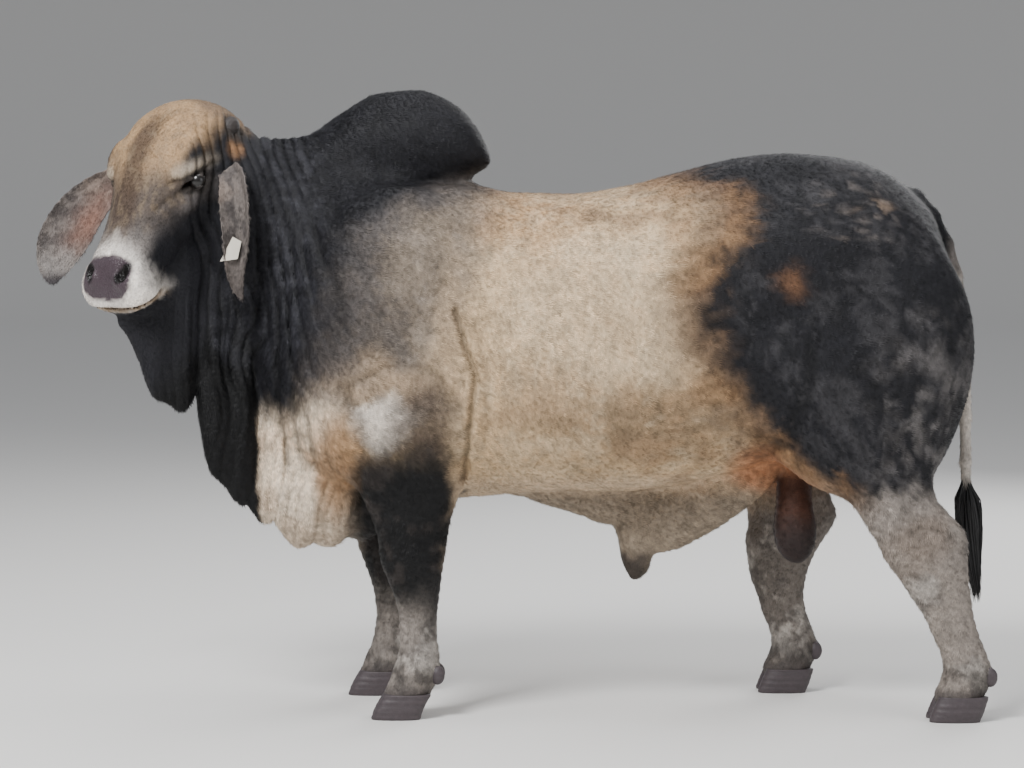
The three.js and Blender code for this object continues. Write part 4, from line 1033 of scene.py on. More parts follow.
def head_markings(c, p, n1, n2, n3, tones):
    """The colours c with the face's laid over them, with painted shade in the nostrils and along the mouth's slit.
    """
    x, y, z = p[:, 0], p[:, 1], p[:, 2]
    along, side, up = in_head(x, y, z)
    s = np.abs(side)
    n4 = noise(x, y, z, 9) - 0.5
    on_head = smooth(along, -60, 10) * smooth(up, -330, -250) * (x < -640)
    c = over(c, on_head, tones.slate)
    # the tan forehead fades to grey on the nose and black on the cheeks
    edge = up - 0.32 * (along - 180) + 26 * n2 + 16 * n3
    top = smooth(edge, -96, -30) * smooth(s + 20 * n2, 152, 118)
    c = over(c, on_head * top, tones.forehead)
    nose = on_head * smooth(along + 0.5 * s + 50 * n2, 200, 320) * smooth(edge, -130, -80)
    c = over(c, 0.9 * nose, "3f3b3a")
    c = over(c, 0.6 * nose * smooth(along + 30 * n3, 340, 440), "8b847f")
    streak = smooth(s + 34 * n2, 56, 16) * top
    c = over(c, 0.85 * on_head * streak * smooth(along, 20, 120), "41352d")
    c = over(c, 0.4 * on_head * smooth(n3 + 0.9 * n4, -0.1, 0.3) * top, "453a33")
    c = over(c, 0.15 * on_head * smooth(n4, 0.05, 0.25) * top, "b59f80")
    c = over(c, 0.75 * on_head * smooth(along, 60, -20) * smooth(n2, -0.2, 0.2) * top, "5a4a3e")
    # pale brow, dark lids, and the orange patch behind the horn's scar
    lid = (along - EYE[0]) * 0.8 + (up - EYE[2]) * 0.6
    rise = (up - EYE[2]) * 0.8 - (along - EYE[0]) * 0.6
    near_eye = on_head * smooth(s, 100, 118)
    c = over(c, 0.6 * near_eye * patch(lid, rise, 8, 36, 62, 16, 0.9), "b0a392")
    c = over(c, 0.85 * near_eye * patch(lid, rise, 0, 10, 50, 17, 0.5), "2a2625")
    c = over(c, 0.8 * near_eye * patch(lid, rise, 0, -16, 60, 18, 0.5), "3a3634")
    c = over(c, 0.7 * on_head * patch(along, up, 62, -92, 30, 22, 0.6) * smooth(s, 100, 125), "8a6748")
    c = over(c, 0.9 * on_head * patch(along, up, 16, -82, 44, 36, 0.3) * smooth(s, 95, 115), "1f1c1b")
    # the muzzle's white ring, the dark pad and the lips
    gape = up + 103 - 0.6 * (along - 525)
    front = along - 0.5 * s + 30 * n2 + 24 * n4
    ring = smooth(front, 375, 450) * smooth(gape + 10 * n4, -20, -10)
    ring *= smooth(along, 380, 420) * smooth(s, 126, 110)
    c = over(c, 0.92 * on_head * ring, tones.muzzle)
    c = over(c, 0.4 * on_head * ring * smooth(n3 + n4, 0.0, 0.3), "8e8784")
    plane = 0.6 * (along - 500) + 0.8 * (up + 14)
    drop = 0.8 * (along - 500) - 0.6 * (up + 14)
    round_off = ((s / 88) ** 2.6 + (np.abs(drop - 9) / 58) ** 2.6) ** (1 / 2.6)
    pad = smooth(plane, -46, -34) * smooth(round_off, 1.05, 0.95)
    c = over(c, on_head * pad, tones.nose)
    c = over(c, 0.5 * on_head * pad * smooth(n4, 0.0, 0.2), "3b3136")
    # Painted shade: the nostrils' hollows are painted near black.
    nostril_shade = smooth(np.hypot((s - 60 + 0.35 * drop) / 20, (drop + 4) / 27), 1.1, 0.8) * smooth(plane, -60, -45)
    c = over(c, on_head * nostril_shade, "0d0b0b")
    lip = smooth(along, 440, 480) * smooth(np.abs(gape + 4), 15, 8)
    c = over(c, 0.75 * on_head * lip, "6d5533")
    # Painted shade: a near-black line along the closed mouth's slit.
    c = over(c, 0.8 * on_head * smooth(along, 440, 480) * smooth(np.abs(gape), 6, 3), "15110f")
    return c


def bare_skin(p):
    """1 on the damp, hairless nose pad, 0 elsewhere."""
    along, side, up = in_head(p[:, 0], p[:, 1], p[:, 2])
    plane = 0.6 * (along - 500) + 0.8 * (up + 14)
    drop = 0.8 * (along - 500) - 0.6 * (up + 14)
    round_off = ((np.abs(side) / 88) ** 2.6 + (np.abs(drop - 9) / 58) ** 2.6) ** (1 / 2.6)
    return smooth(plane, -46, -34) * smooth(round_off, 1.05, 0.95)


def ear_markings(p):
    """The ears' colour at each point."""
    x, y, z = p[:, 0], p[:, 1], p[:, 2]
    n1, n2, n3 = (noise(x, y, z, size) - 0.5 for size in (90, 34, 9))
    near = x > -900
    c = np.tile(rgb("6d6662"), (len(p), 1))
    c = over(c, 0.6 * smooth(n1, 0.0, 0.25), "8a7b70")
    c = over(c, 0.7 * smooth(n3 + n2, 0.0, 0.3), "383434")
    c = over(c, near * 0.5 * smooth(z, 1330, 1400), "55504f")
    c = over(c, near * 0.6 * smooth(z, 1180, 1110), "4a4340")
    # the far ear's hollow shows its bare skin
    inside = np.exp(-(((x + 1095) / 62) ** 2) - ((z - 1270 - 0.9 * (x + 1095)) / 62) ** 2)
    c = over(c, ~near * 0.85 * inside, "7d5b4e")
    c = over(c, ~near * 0.55 * smooth(z, 1220, 1170) * smooth(n2, -0.3, 0.2), "8f8a86")
    c = over(c, ~near * smooth(z, 1150, 1112), "3a3638")
    return c


# Shader building

def tree_of(material):
    material.use_nodes = True
    tree = material.node_tree
    tree.nodes.clear()
    out = tree.nodes.new("ShaderNodeOutputMaterial")
    shader = tree.nodes.new("ShaderNodeBsdfPrincipled")
    tree.links.new(shader.outputs["BSDF"], out.inputs["Surface"])
    return tree, shader


def node(tree, kind, inputs=None, **settings):
    made = tree.nodes.new(kind)
    for key, value in settings.items():
        setattr(made, key, value)
    for key, value in (inputs or {}).items():
        if isinstance(value, bpy.types.NodeSocket):
            tree.links.new(value, made.inputs[key])
        else:
            made.inputs[key].default_value = value
    return made


def math_node(tree, operation, a, b=0.0, c=0.0):
    return node(tree, "ShaderNodeMath", {0: a, 1: b, 2: c}, operation=operation).outputs[0]


def new_group(name, sockets):
    group = bpy.data.node_groups.new(name, "ShaderNodeTree")
    for label, kind, way in sockets:
        group.interface.new_socket(label, in_out=way, socket_type=kind)
    return group, group.nodes.new("NodeGroupInput"), group.nodes.new("NodeGroupOutput")


def grain_group():
    """Fine hair streaks and speckle over the hide: a tone factor and a height."""
    group, start, end = new_group("HideGrain", [
        ("Size", "NodeSocketFloat", "INPUT"), ("Depth", "NodeSocketFloat", "INPUT"),
        ("Tone", "NodeSocketFloat", "OUTPUT"), ("Height", "NodeSocketFloat", "OUTPUT"),
    ])
    place = node(group, "ShaderNodeTexCoord").outputs["Object"]
    shape = node(group, "ShaderNodeMapping", {"Vector": place, "Scale": (1.0, 1.0, 0.35)}).outputs[0]
    hair = node(group, "ShaderNodeTexNoise", {"Vector": shape, "Detail": 3.0, "Roughness": 0.6})
    group.links.new(start.outputs["Size"], hair.inputs["Scale"])
    speck = node(group, "ShaderNodeTexNoise", {"Vector": place, "Scale": 120.0, "Detail": 4.0, "Roughness": 0.65})
    broad = node(group, "ShaderNodeTexNoise", {"Vector": place, "Scale": 14.0, "Detail": 3.0})
    mix = math_node(group, "ADD", math_node(group, "MULTIPLY", hair.outputs[0], 0.5),
                    math_node(group, "MULTIPLY", speck.outputs[0], 0.3))
    mix = math_node(group, "ADD", mix, math_node(group, "MULTIPLY", broad.outputs[0], 0.2))
    spread = math_node(group, "MULTIPLY_ADD", math_node(group, "SUBTRACT", mix, 0.5), start.outputs["Depth"], 1.0)
    group.links.new(spread, end.inputs["Tone"])
    group.links.new(math_node(group, "ADD", hair.outputs[0], math_node(group, "MULTIPLY", speck.outputs[0], 0.5)),
                    end.inputs["Height"])
    return group


def ridge_group():
    """Growth rings across horn and hoof: a tone factor and a height."""
    group, start, end = new_group("GrowthRings", [
        ("Rings", "NodeSocketFloat", "INPUT"),
        ("Tone", "NodeSocketFloat", "OUTPUT"), ("Height", "NodeSocketFloat", "OUTPUT"),
    ])
    place = node(group, "ShaderNodeTexCoord").outputs["Object"]
    warp = {"Vector": place, "Distortion": 3.5, "Detail": 3.0, "Detail Scale": 2.0}
    wave = node(group, "ShaderNodeTexWave", warp, wave_type="BANDS", bands_direction="Z")
    group.links.new(start.outputs["Rings"], wave.inputs["Scale"])
    dirt = node(group, "ShaderNodeTexNoise", {"Vector": place, "Scale": 90.0, "Detail": 5.0, "Roughness": 0.7})
    tone = math_node(group, "MULTIPLY_ADD", dirt.outputs[0], 0.9, 0.5)
    tone = math_node(group, "MULTIPLY", tone, math_node(group, "MULTIPLY_ADD", wave.outputs["Fac"], 0.12, 0.9))
    group.links.new(tone, end.inputs["Tone"])
    fine = math_node(group, "MULTIPLY", wave.outputs["Fac"], 0.35)
    group.links.new(math_node(group, "ADD", fine, dirt.outputs[0]), end.inputs["Height"])
    return group


def toned(tree, base, factor):
    """base colour times a factor."""
    scaled = node(tree, "ShaderNodeVectorMath", {0: base}, operation="SCALE")
    tree.links.new(factor, scaled.inputs["Scale"])
    return scaled.outputs[0]


def bump(tree, height, strength, distance):
    return node(tree, "ShaderNodeBump", {"Height": height, "Strength": strength, "Distance": distance}).outputs[0]


def hide_material(name, grain, depth, roughness, strength):
    """The hide over its markings; with no relief, the coat, whose tufts differ in tone."""
    material = bpy.data.materials.new(name)
    tree, shader = tree_of(material)
    given = node(tree, "ShaderNodeAttribute", attribute_name="markings", attribute_type="GEOMETRY")
    tones, damp = given.outputs["Color"], given.outputs["Alpha"]
    texture = node(tree, "ShaderNodeGroup", node_tree=grain)
    texture.inputs["Size"].default_value = GRAIN_SIZE
    texture.inputs["Depth"].default_value = depth
    tone = texture.outputs["Tone"]
    if not strength:
        shade = node(tree, "ShaderNodeAttribute", attribute_name="shade", attribute_type="GEOMETRY").outputs["Fac"]
        tone = math_node(tree, "MULTIPLY", tone, math_node(tree, "MULTIPLY_ADD", shade, 0.8, 0.62))
    tree.links.new(toned(tree, tones, tone), shader.inputs["Base Color"])
    if strength:
        place = node(tree, "ShaderNodeTexCoord").outputs["Object"]
        cobbles = node(tree, "ShaderNodeTexVoronoi", {"Vector": place, "Scale": 190.0}).outputs["Distance"]
        cobbles = math_node(tree, "MULTIPLY", math_node(tree, "MULTIPLY", cobbles, -1.6), damp)
        height = math_node(tree, "ADD", texture.outputs["Height"], cobbles)
        tree.links.new(bump(tree, height, strength, 0.002), shader.inputs["Normal"])
        matt = math_node(tree, "MULTIPLY_ADD", damp, 0.3 - roughness, roughness)
        tree.links.new(matt, shader.inputs["Roughness"])
    else:
        shader.inputs["Roughness"].default_value = roughness
    shader.inputs["Sheen Weight"].default_value = 0.02
    shader.inputs["Sheen Roughness"].default_value = 0.4
    shader.inputs["Specular IOR Level"].default_value = 0.22
    return material


def horny_material(name, rings, tone, count, roughness):
    """Horn or hoof with growth rings."""
    material = bpy.data.materials.new(name)
    tree, shader = tree_of(material)
    texture = node(tree, "ShaderNodeGroup", node_tree=rings)
    texture.inputs["Rings"].default_value = count
    colour = node(tree, "ShaderNodeRGB")
    colour.outputs[0].default_value = (*tone, 1)
    tree.links.new(toned(tree, colour.outputs[0], texture.outputs["Tone"]), shader.inputs["Base Color"])
    tree.links.new(bump(tree, texture.outputs["Height"], 0.5, 0.002), shader.inputs["Normal"])
    shader.inputs["Roughness"].default_value = roughness
    return material


def plain_material(name, tone, roughness, coat, scale, spread):
    """One tone with faint clouds in it."""
    material = bpy.data.materials.new(name)
    tree, shader = tree_of(material)
    place = node(tree, "ShaderNodeTexCoord").outputs["Object"]
    cloud = node(tree, "ShaderNodeTexNoise", {"Vector": place, "Scale": scale, "Detail": 4.0})
    factor = math_node(tree, "MULTIPLY_ADD", cloud.outputs[0], spread * 2, 1 - spread)
    colour = node(tree, "ShaderNodeRGB")
    colour.outputs[0].default_value = (*tone, 1)
    tree.links.new(toned(tree, colour.outputs[0], factor), shader.inputs["Base Color"])
    shader.inputs["Roughness"].default_value = roughness
    shader.inputs["Coat Weight"].default_value = coat
    return material


# The coat: which way it lies, how long it is and how thick it stands

COAT_PARTS = ["head", "neck", "front", "back", "legs"]
BAKE_PATCH = 0.003
GRAIN_SIZE = 420.0


def unit(v):
    return v / np.maximum(np.linalg.norm(v, axis=1), 1e-9)[:, None]


def coat_fields(p, ears):
    """Lie, length share and weight in each part of the coat, at points of the skin."""
    x, y, z = p[:, 0], p[:, 1], p[:, 2]
    along, side, up = in_head(x, y, z)
    n = noise(x, y, z, 80) - 0.5
    lie = np.tile(np.array([1.0, 0.0, -0.35]), (len(p), 1))
    on_leg = (smooth(z, 640, 480) * (np.abs(y) > 95))[:, None]
    lie = lie * (1 - on_leg) + np.array([0.12, 0, -1.0]) * on_leg
    on_neck = (smooth(x, -430, -600))[:, None]
    lie = lie * (1 - on_neck) + np.array([0.35, 0, -1.0]) * on_neck
    on_head = (x < -640) & (along > -60) & (up > -300) & ~ears
    way = np.where(along > 185, 1.0, -1.0)[:, None] * HEAD_ALONG + np.sign(side)[:, None] * 0.25 * HEAD_SIDE
    cheek = smooth(up, -40, -130)[:, None]
    way = way * (1 - cheek) - (HEAD_UP + 0.3 * HEAD_ALONG) * cheek
    lie[on_head] = way[on_head]
    hang = ears | ((x > 1080) & (np.abs(y) < 60))
    lie[hang] = (0.1, 0, -1)
    lie = unit(lie + n[:, None] * np.array([0.2, 0.5, 0.3]))
    size = np.ones(len(p)) + 0.3 * n
    size -= 0.45 * on_head + 0.3 * (z < 420) + 0.25 * ears
    thick = np.ones(len(p)) + 0.9 * on_head + 0.3 * (z < 420)
    thick[bare_skin(p) > 0.3] = 0.0
    thick[on_head & (along > 440) & (np.abs(up + 105 - 0.6 * (along - 525)) < 16)] = 0.0
    thick[(np.abs(y) < 110) & (z < 640) & (x > 660) & (x < 840)] *= 0.3
    parts = np.zeros((len(p), len(COAT_PARTS)))
    zone = np.select([on_head | ears, z < 600, x < -430, x < 260], [0, 4, 1, 2], 3)
    parts[np.arange(len(p)), zone] = thick
    return lie, size, parts


def add_fields(obj, ears):
    places = vertex_places(obj.data)
    lie, size, parts = coat_fields(places, np.full(len(places), ears))
    for name, kind, key, values in (
        ("lie", "FLOAT_VECTOR", "vector", lie), ("size", "FLOAT", "value", size),
        *((part, "FLOAT", "value", parts[:, i]) for i, part in enumerate(COAT_PARTS)),
    ):
        layer = obj.data.attributes.new(name, kind, "POINT")
        layer.data.foreach_set(key, np.ascontiguousarray(values, dtype=np.float32).ravel())


def tuft_mesh():
    """Two thin blades that lie along X, with their own flat patch for the bake's map."""
    points, faces, flat = [], [], []
    for across, turn, long in ((-0.07, -0.16, 1.0), (0.08, 0.14, 0.82)):
        at = len(points)
        for share, half, high in ((0.0, 0.055, -0.04), (0.45, 0.05, 0.10), (1.0, 0.0, 0.13)):
            ends = (0,) if half == 0 else (-1, 1)
            for end in ends:
                points.append((share * long, across + turn * share + end * half, high))
                flat.append((share, 0.5 + across * 3 + end * half * 3, 0.0))
        faces += [(at, at + 2, at + 3, at + 1), (at + 2, at + 4, at + 3)]
    mesh = bpy.data.meshes.new("tuft")
    mesh.from_pydata(points, [], faces)
    layer = mesh.attributes.new("patch", "FLOAT_VECTOR", "POINT")
    layer.data.foreach_set("vector", np.array(flat, np.float32).ravel())
    return mesh


def coat_tree():
    """Tufts over one part of the skin, each with a shade and a patch of the bake's map at its root."""
    tree = bpy.data.node_groups.new("CoatTufts", "GeometryNodeTree")
    for label, kind, way in (
        ("Geometry", "NodeSocketGeometry", "INPUT"), ("Tuft", "NodeSocketObject", "INPUT"),
        ("Part", "NodeSocketString", "INPUT"), ("Density", "NodeSocketFloat", "INPUT"),
        ("Length", "NodeSocketFloat", "INPUT"), ("Seed", "NodeSocketInt", "INPUT"),
        ("Material", "NodeSocketMaterial", "INPUT"), ("Geometry", "NodeSocketGeometry", "OUTPUT"),
    ):
        tree.interface.new_socket(label, in_out=way, socket_type=kind)
    start, end = tree.nodes.new("NodeGroupInput"), tree.nodes.new("NodeGroupOutput")
    given = start.outputs
    weight = node(tree, "GeometryNodeInputNamedAttribute", {"Name": given["Part"]}, data_type="FLOAT").outputs[0]
    density = math_node(tree, "MULTIPLY", weight, given["Density"])
    spread = node(tree, "GeometryNodeDistributePointsOnFaces",
                  {"Mesh": given["Geometry"], "Density": density, "Seed": given["Seed"]})
    lie = node(tree, "GeometryNodeInputNamedAttribute", {"Name": "lie"}, data_type="FLOAT_VECTOR").outputs[0]
    size = node(tree, "GeometryNodeInputNamedAttribute", {"Name": "size"}, data_type="FLOAT").outputs[0]
    upright = node(tree, "FunctionNodeAlignRotationToVector", {"Vector": spread.outputs["Normal"]}, axis="Z")
    laid = node(tree, "FunctionNodeAlignRotationToVector", {"Rotation": upright.outputs[0], "Vector": lie},
                axis="X", pivot_axis="Z")
    swing = node(tree, "FunctionNodeRandomValue", {"Seed": 3}, data_type="FLOAT_VECTOR")
    swing.inputs[0].default_value = (-0.1, -0.16, -0.35)
    swing.inputs[1].default_value = (0.1, 0.04, 0.35)
    turn = node(tree, "FunctionNodeEulerToRotation", {0: swing.outputs[0]})
    ruffled = node(tree, "FunctionNodeRotateRotation", {0: laid.outputs[0], 1: turn.outputs[0]},
                   rotation_space="LOCAL")
    vary = node(tree, "FunctionNodeRandomValue", {"Seed": 5}, data_type="FLOAT")
    vary.inputs[2].default_value = 0.7
    vary.inputs[3].default_value = 1.25
    long = math_node(tree, "MULTIPLY", math_node(tree, "MULTIPLY", size, vary.outputs[1]), given["Length"])
    shade = node(tree, "FunctionNodeRandomValue", {"Seed": 9}, data_type="FLOAT")
    marked = node(tree, "GeometryNodeStoreNamedAttribute",
                  {"Geometry": spread.outputs["Points"], "Name": "shade", "Value": shade.outputs[1]},
                  data_type="FLOAT", domain="POINT")
    blade = node(tree, "GeometryNodeObjectInfo", {"Object": given["Tuft"]}).outputs["Geometry"]
    placed = node(tree, "GeometryNodeInstanceOnPoints", {
        "Points": marked.outputs[0], "Instance": blade, "Rotation": ruffled.outputs[0], "Scale": long})
    real = node(tree, "GeometryNodeRealizeInstances", {0: placed.outputs[0]}).outputs[0]
    root = node(tree, "GeometryNodeInputNamedAttribute", {"Name": "Unwrap"}, data_type="FLOAT_VECTOR").outputs[0]
    flat = node(tree, "GeometryNodeInputNamedAttribute", {"Name": "patch"}, data_type="FLOAT_VECTOR").outputs[0]
    small = node(tree, "ShaderNodeVectorMath", {0: flat}, operation="SCALE")
    small.inputs["Scale"].default_value = BAKE_PATCH
    both = node(tree, "ShaderNodeVectorMath", {0: root, 1: small.outputs[0]}, operation="ADD").outputs[0]
    mapped = node(tree, "GeometryNodeStoreNamedAttribute", {"Geometry": real, "Name": "OFBake"},
                  data_type="FLOAT2", domain="CORNER")
    tree.links.new(both, mapped.inputs["Value"])
    painted = node(tree, "GeometryNodeSetMaterial", {"Geometry": mapped.outputs[0], "Material": given["Material"]})
    tree.links.new(painted.outputs[0], end.inputs[0])
    return tree


def material_named(name):
    found = bpy.data.materials.get(name)
    if found is None:
        raise RuntimeError(f"material {name} isn't made yet")
    return found


def finish_piece(obj, slot, *nodes):
    """Hold a piece inside the solids' box, then give it its body and hide the nodes it stands for. The slot is not
    used.
    """
    places = np.empty(len(obj.data.vertices) * 3, np.float32)
    obj.data.vertices.foreach_get("co", places)
    held = np.clip(places.reshape(-1, 3), CAD_BOX[0], CAD_BOX[1])
    obj.data.vertices.foreach_set("co", held.astype(np.float32).ravel())
    obj.data.update()
    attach(obj, "root")
    if nodes:
        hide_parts(*nodes)


STRANDS, STRAND_RINGS = 520, 9
STRAND_LENGTH = 352.0
SWITCH_X, SWITCH_TOP = 1188, 596

# The stage: each lamp's name, place, size and power; the floor's flat part, rim and sides

LAMPS = [
    ("key", (-3.0, -4.4, 5.6), 2.2, 640), ("fill", (5.5, -4.0, 3.0), 4.0, 110),
    ("top", (0.2, 0.4, 6.0), 3.5, 150), ("rim", (3.0, 5.0, 3.5), 3.0, 160),
]
AIM = Vector((0, 0, 0.8))
FLOOR_REACH, RIM_RADIUS, FLOOR_SIDES = 30, 7, 96
CAMERA_TILT = math.atan(156 / 2800)


def floor_mesh():
    """A round floor whose rim turns up, so that no horizon shows."""
    rise = [math.radians(a) for a in range(0, 91, 6)]
    rows = [(0.01, 0)]
    rows += [(FLOOR_REACH + RIM_RADIUS * math.sin(a), RIM_RADIUS - RIM_RADIUS * math.cos(a)) for a in rise]
    n = FLOOR_SIDES
    turn = [math.tau * k / n for k in range(n)]
    places = [(r * math.cos(a), r * math.sin(a), z) for r, z in rows for a in turn]
    faces = [
        (n * i + k, n * i + n + k, n * i + n + (k + 1) % n, n * i + (k + 1) % n)
        for i in range(len(rows) - 1) for k in range(n)
    ]
    mesh = bpy.data.meshes.new("floor")
    mesh.from_pydata(places, [], faces + [tuple(range(n))])
    mesh.polygons.foreach_set("use_smooth", [True] * len(mesh.polygons))
    return mesh


# Settings and operators

class BullTones(bpy.types.PropertyGroup):
    __annotations__ = {
        name: bpy.props.FloatVectorProperty(
            name=label, description=text, subtype="COLOR", size=3, min=0, max=1, default=rgb(digits).tolist())
        for name, (label, text, digits) in TONES.items()
    }


class BullHide(bpy.types.PropertyGroup):
    roughness: bpy.props.FloatProperty(
        name="Roughness", description="How matt the short coat is", default=0.62, min=0, max=1,
        subtype="FACTOR")
    grain: bpy.props.FloatProperty(
        name="Grain", description="How much the hairs' tones differ", default=1.6, min=0, max=3)
    bump: bpy.props.FloatProperty(
        name="Hair relief", description="Strength of the coat's bump", default=0.5, min=0, max=1, subtype="FACTOR")


class BullCoat(bpy.types.PropertyGroup):
    tufts: bpy.props.IntProperty(name="Tufts", description="Tufts in each part of the coat", default=31000, min=100)
    length: bpy.props.FloatProperty(
        name="Length", description="Length of a body tuft", default=0.014, unit="LENGTH", subtype="DISTANCE")


class BullStage(bpy.types.PropertyGroup):
    distance: bpy.props.FloatProperty(
        name="Camera distance", description="From the bull's middle", default=7.3,
        unit="LENGTH", subtype="DISTANCE")
    height: bpy.props.FloatProperty(
        name="Camera height", description="Above the floor", default=1.25, unit="LENGTH", subtype="DISTANCE")
    lens: bpy.props.FloatProperty(
        name="Lens", description="Focal length in millimetres", default=98.44,
        unit="CAMERA", subtype="DISTANCE_CAMERA")


class BULL_OT_materials(bpy.types.Operator):
    """Make the materials of hide, horn, hoof, eye, tag and hair"""
    bl_idname = "bull.materials"
    bl_label = "Materials"

    def execute(self, context):
        hide, tones = context.scene.bull_hide, context.scene.bull_tones
        grain, rings = grain_group(), ridge_group()
        hide_material("Hide", grain, hide.grain, hide.roughness, hide.bump)
        hide_material("Coat", grain, hide.grain, hide.roughness, 0.0)
        horny_material("Hoof", rings, tones.hoof, 17.0, 0.55)
        horny_material("Horn", rings, tones.horn, 30.0, 0.6)
        plain_material("Eye", tones.eye, roughness=0.3, coat=0.2, scale=60.0, spread=0.5)
        plain_material("Tag", tones.tag, roughness=0.45, coat=0.0, scale=40.0, spread=0.08)
        plain_material("SwitchHair", tones.switch, roughness=0.5, coat=0.0, scale=300.0, spread=0.5)
        return {"FINISHED"}


KEPT_FACES = 0.46
FLESH_NODES = [
    "head", "lower_jaw", "ear_left", "ear_right", "neck", "dewlap_throat", "dewlap_front", "brisket", "hump",
    "chest", "barrel", "rump", "sheath", "scrotum", "tail_root", "tail_middle", "tail_lower",
]
LEGS = [("foreleg_left", -1), ("foreleg_right", 1), ("hindleg_left", -1), ("hindleg_right", 1)]
LEG_PARTS = ["upper", "cannon", "pastern"]


class BULL_OT_skin(bpy.types.Operator):
    """Build the bull's one skin, with its folds, lids and ears"""
    bl_idname = "bull.skin"
    bl_label = "Skin"

    def execute(self, context):
        tones = context.scene.bull_tones
        palette = SimpleNamespace(**{name: np.array(getattr(tones, name)) for name in TONES})
        ears = [ear(rows, across) for rows, across in ((NEAR_EAR, NEAR_EAR_ACROSS), (FAR_EAR, FAR_EAR_ACROSS))]
        skin = mesh_object("skin", *surface(skin_level, skin_lines(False)), material_named("Hide"))
        thin = skin.modifiers.new("thin", "DECIMATE")
        thin.ratio = KEPT_FACES
        depsgraph = context.evaluated_depsgraph_get()
        made = bpy.data.meshes.new_from_object(skin.evaluated_get(depsgraph))
        skin.modifiers.clear()
        skin.data = made
        leaves = mesh_object("leaves", *gather(ears), material_named("Hide"))
        add_markings(skin, lambda p: markings(p, palette))
        add_fields(skin, False)
        add_markings(leaves, ear_markings)
        add_fields(leaves, True)
        with context.temp_override(active_object=skin, selected_editable_objects=[skin, leaves]):
            bpy.ops.object.join()
        skin.data.polygons.foreach_set("use_smooth", np.ones(len(skin.data.polygons), dtype=bool))
        add_unwrap(skin)
        legs = [f"{leg}_{part}" for leg, _ in LEGS for part in LEG_PARTS]
        finish_piece(skin, "hide_cream", *FLESH_NODES, *legs)
        return {"FINISHED"}


class BULL_OT_coat(bpy.types.Operator):
    """Grow the short coat over the skin, one piece for each part of the body"""
    bl_idname = "bull.coat"
    bl_label = "Coat"

    def execute(self, context):
        settings = context.scene.bull_coat
        skin = bpy.data.objects["skin"]
        blade = bpy.data.objects.new("tuft", tuft_mesh())
        host = bpy.data.objects.new("host", skin.data)
        context.scene.collection.objects.link(blade)
        context.scene.collection.objects.link(host)
        tree = coat_tree()
        ids = {item.name: item.identifier for item in tree.interface.items_tree if item.in_out == "INPUT"}
        areas = np.empty(len(skin.data.polygons))
        skin.data.polygons.foreach_get("area", areas)
        first = np.empty(len(skin.data.polygons), np.int32)
        skin.data.polygons.foreach_get("loop_start", first)
        corners = np.empty(len(skin.data.loops), np.int32)
        skin.data.loops.foreach_get("vertex_index", corners)
        for seed, part in enumerate(COAT_PARTS):
            weights = np.empty(len(skin.data.vertices), np.float32)
            skin.data.attributes[part].data.foreach_get("value", weights)
            whole = float((areas * weights[corners[first]]).sum())
            grow = host.modifiers.new("grow", "NODES")
            grow.node_group = tree
            tufts = settings.tufts // 1
            for label, value in (
                ("Tuft", blade), ("Part", part), ("Density", tufts / whole), ("Length", settings.length),
                ("Seed", seed), ("Material", material_named("Coat")),
            ):
                grow[ids[label]] = value
            context.view_layer.update()
            made = bpy.data.meshes.new_from_object(host.evaluated_get(context.evaluated_depsgraph_get()))
            host.modifiers.remove(grow)
            for name in ("Unwrap", "patch", "lie", "size", *COAT_PARTS):
                if name in made.attributes:
                    made.attributes.remove(made.attributes[name])
            coat = bpy.data.objects.new(f"coat_{part}", made)
            context.scene.collection.objects.link(coat)
            finish_piece(coat, "hide_cream")
        bpy.data.objects.remove(host)
        bpy.data.objects.remove(blade)
        for name in ("lie", "size", *COAT_PARTS):
            skin.data.attributes.remove(skin.data.attributes[name])
        return {"FINISHED"}


class BULL_OT_eyes(bpy.types.Operator):
    """Build the two eyes"""
    bl_idname = "bull.eyes"
    bl_label = "Eyes"

    def execute(self, context):
        for name, side in (("eye_left", 1), ("eye_right", -1)):
            centre = out_of_head(EYE[0], side * EYE[1], EYE[2])
            ball = lump(centre, [EYE_RADIUS] * 3, HEAD_AXES, 48, 32)
            finish_piece(mesh_object(f"{name}_ball", *ball, material_named("Eye"), clean=True), "eye", name)
        return {"FINISHED"}


class BULL_OT_horn(bpy.types.Operator):
    """Build the horn buds, claws and dewclaws"""
    bl_idname = "bull.horn"
    bl_label = "Horn and hooves"

    def execute(self, context):
        for name, side in (("horn_bud_left", 1), ("horn_bud_right", -1)):
            bud = lump(out_of_head(14, side * 122, -80), BUD_RADII, HEAD_AXES, 40, 24, 0.015)
            finish_piece(mesh_object(f"{name}_cap", *bud, material_named("Horn"), clean=True), "horn", name)
        for i, (leg, side) in enumerate(LEGS):
            fore = leg.startswith("fore")
            rows = FORE_CLAW if fore else HIND_CLAW
            axis = side * (FORE_LEG_SIDE if fore else HIND_LEG_SIDE)
            step = 0.0 if side < 0 else (FAR_FORE_STEP if fore else float(hind_step(40)))
            back = FORE_LEG[3][1] if fore else HIND_LEG[3][1]
            back += 0.0 if side < 0 else (FAR_FORE_STEP if fore else float(hind_step(120)))
            for way, which in ((-1, "left"), (1, "right")):
                toe = claw(rows, axis + way * CLAW_APART, step, i + way)
                piece = mesh_object(f"{leg}_toe_{which}", *toe, material_named("Hoof"))
                finish_piece(piece, "hoof", f"{leg}_claw_{which}")
                middle = np.array([back - 9, axis + way * 24, 112])
                spur = lump(middle, SPUR_RADII, WORLD_AXES, 32, 22, 0.012)
                piece = mesh_object(f"{leg}_spur_{which}", *spur, material_named("Hoof"), clean=True)
                finish_piece(piece, "hoof", f"{leg}_dewclaw_{which}")
        return {"FINISHED"}


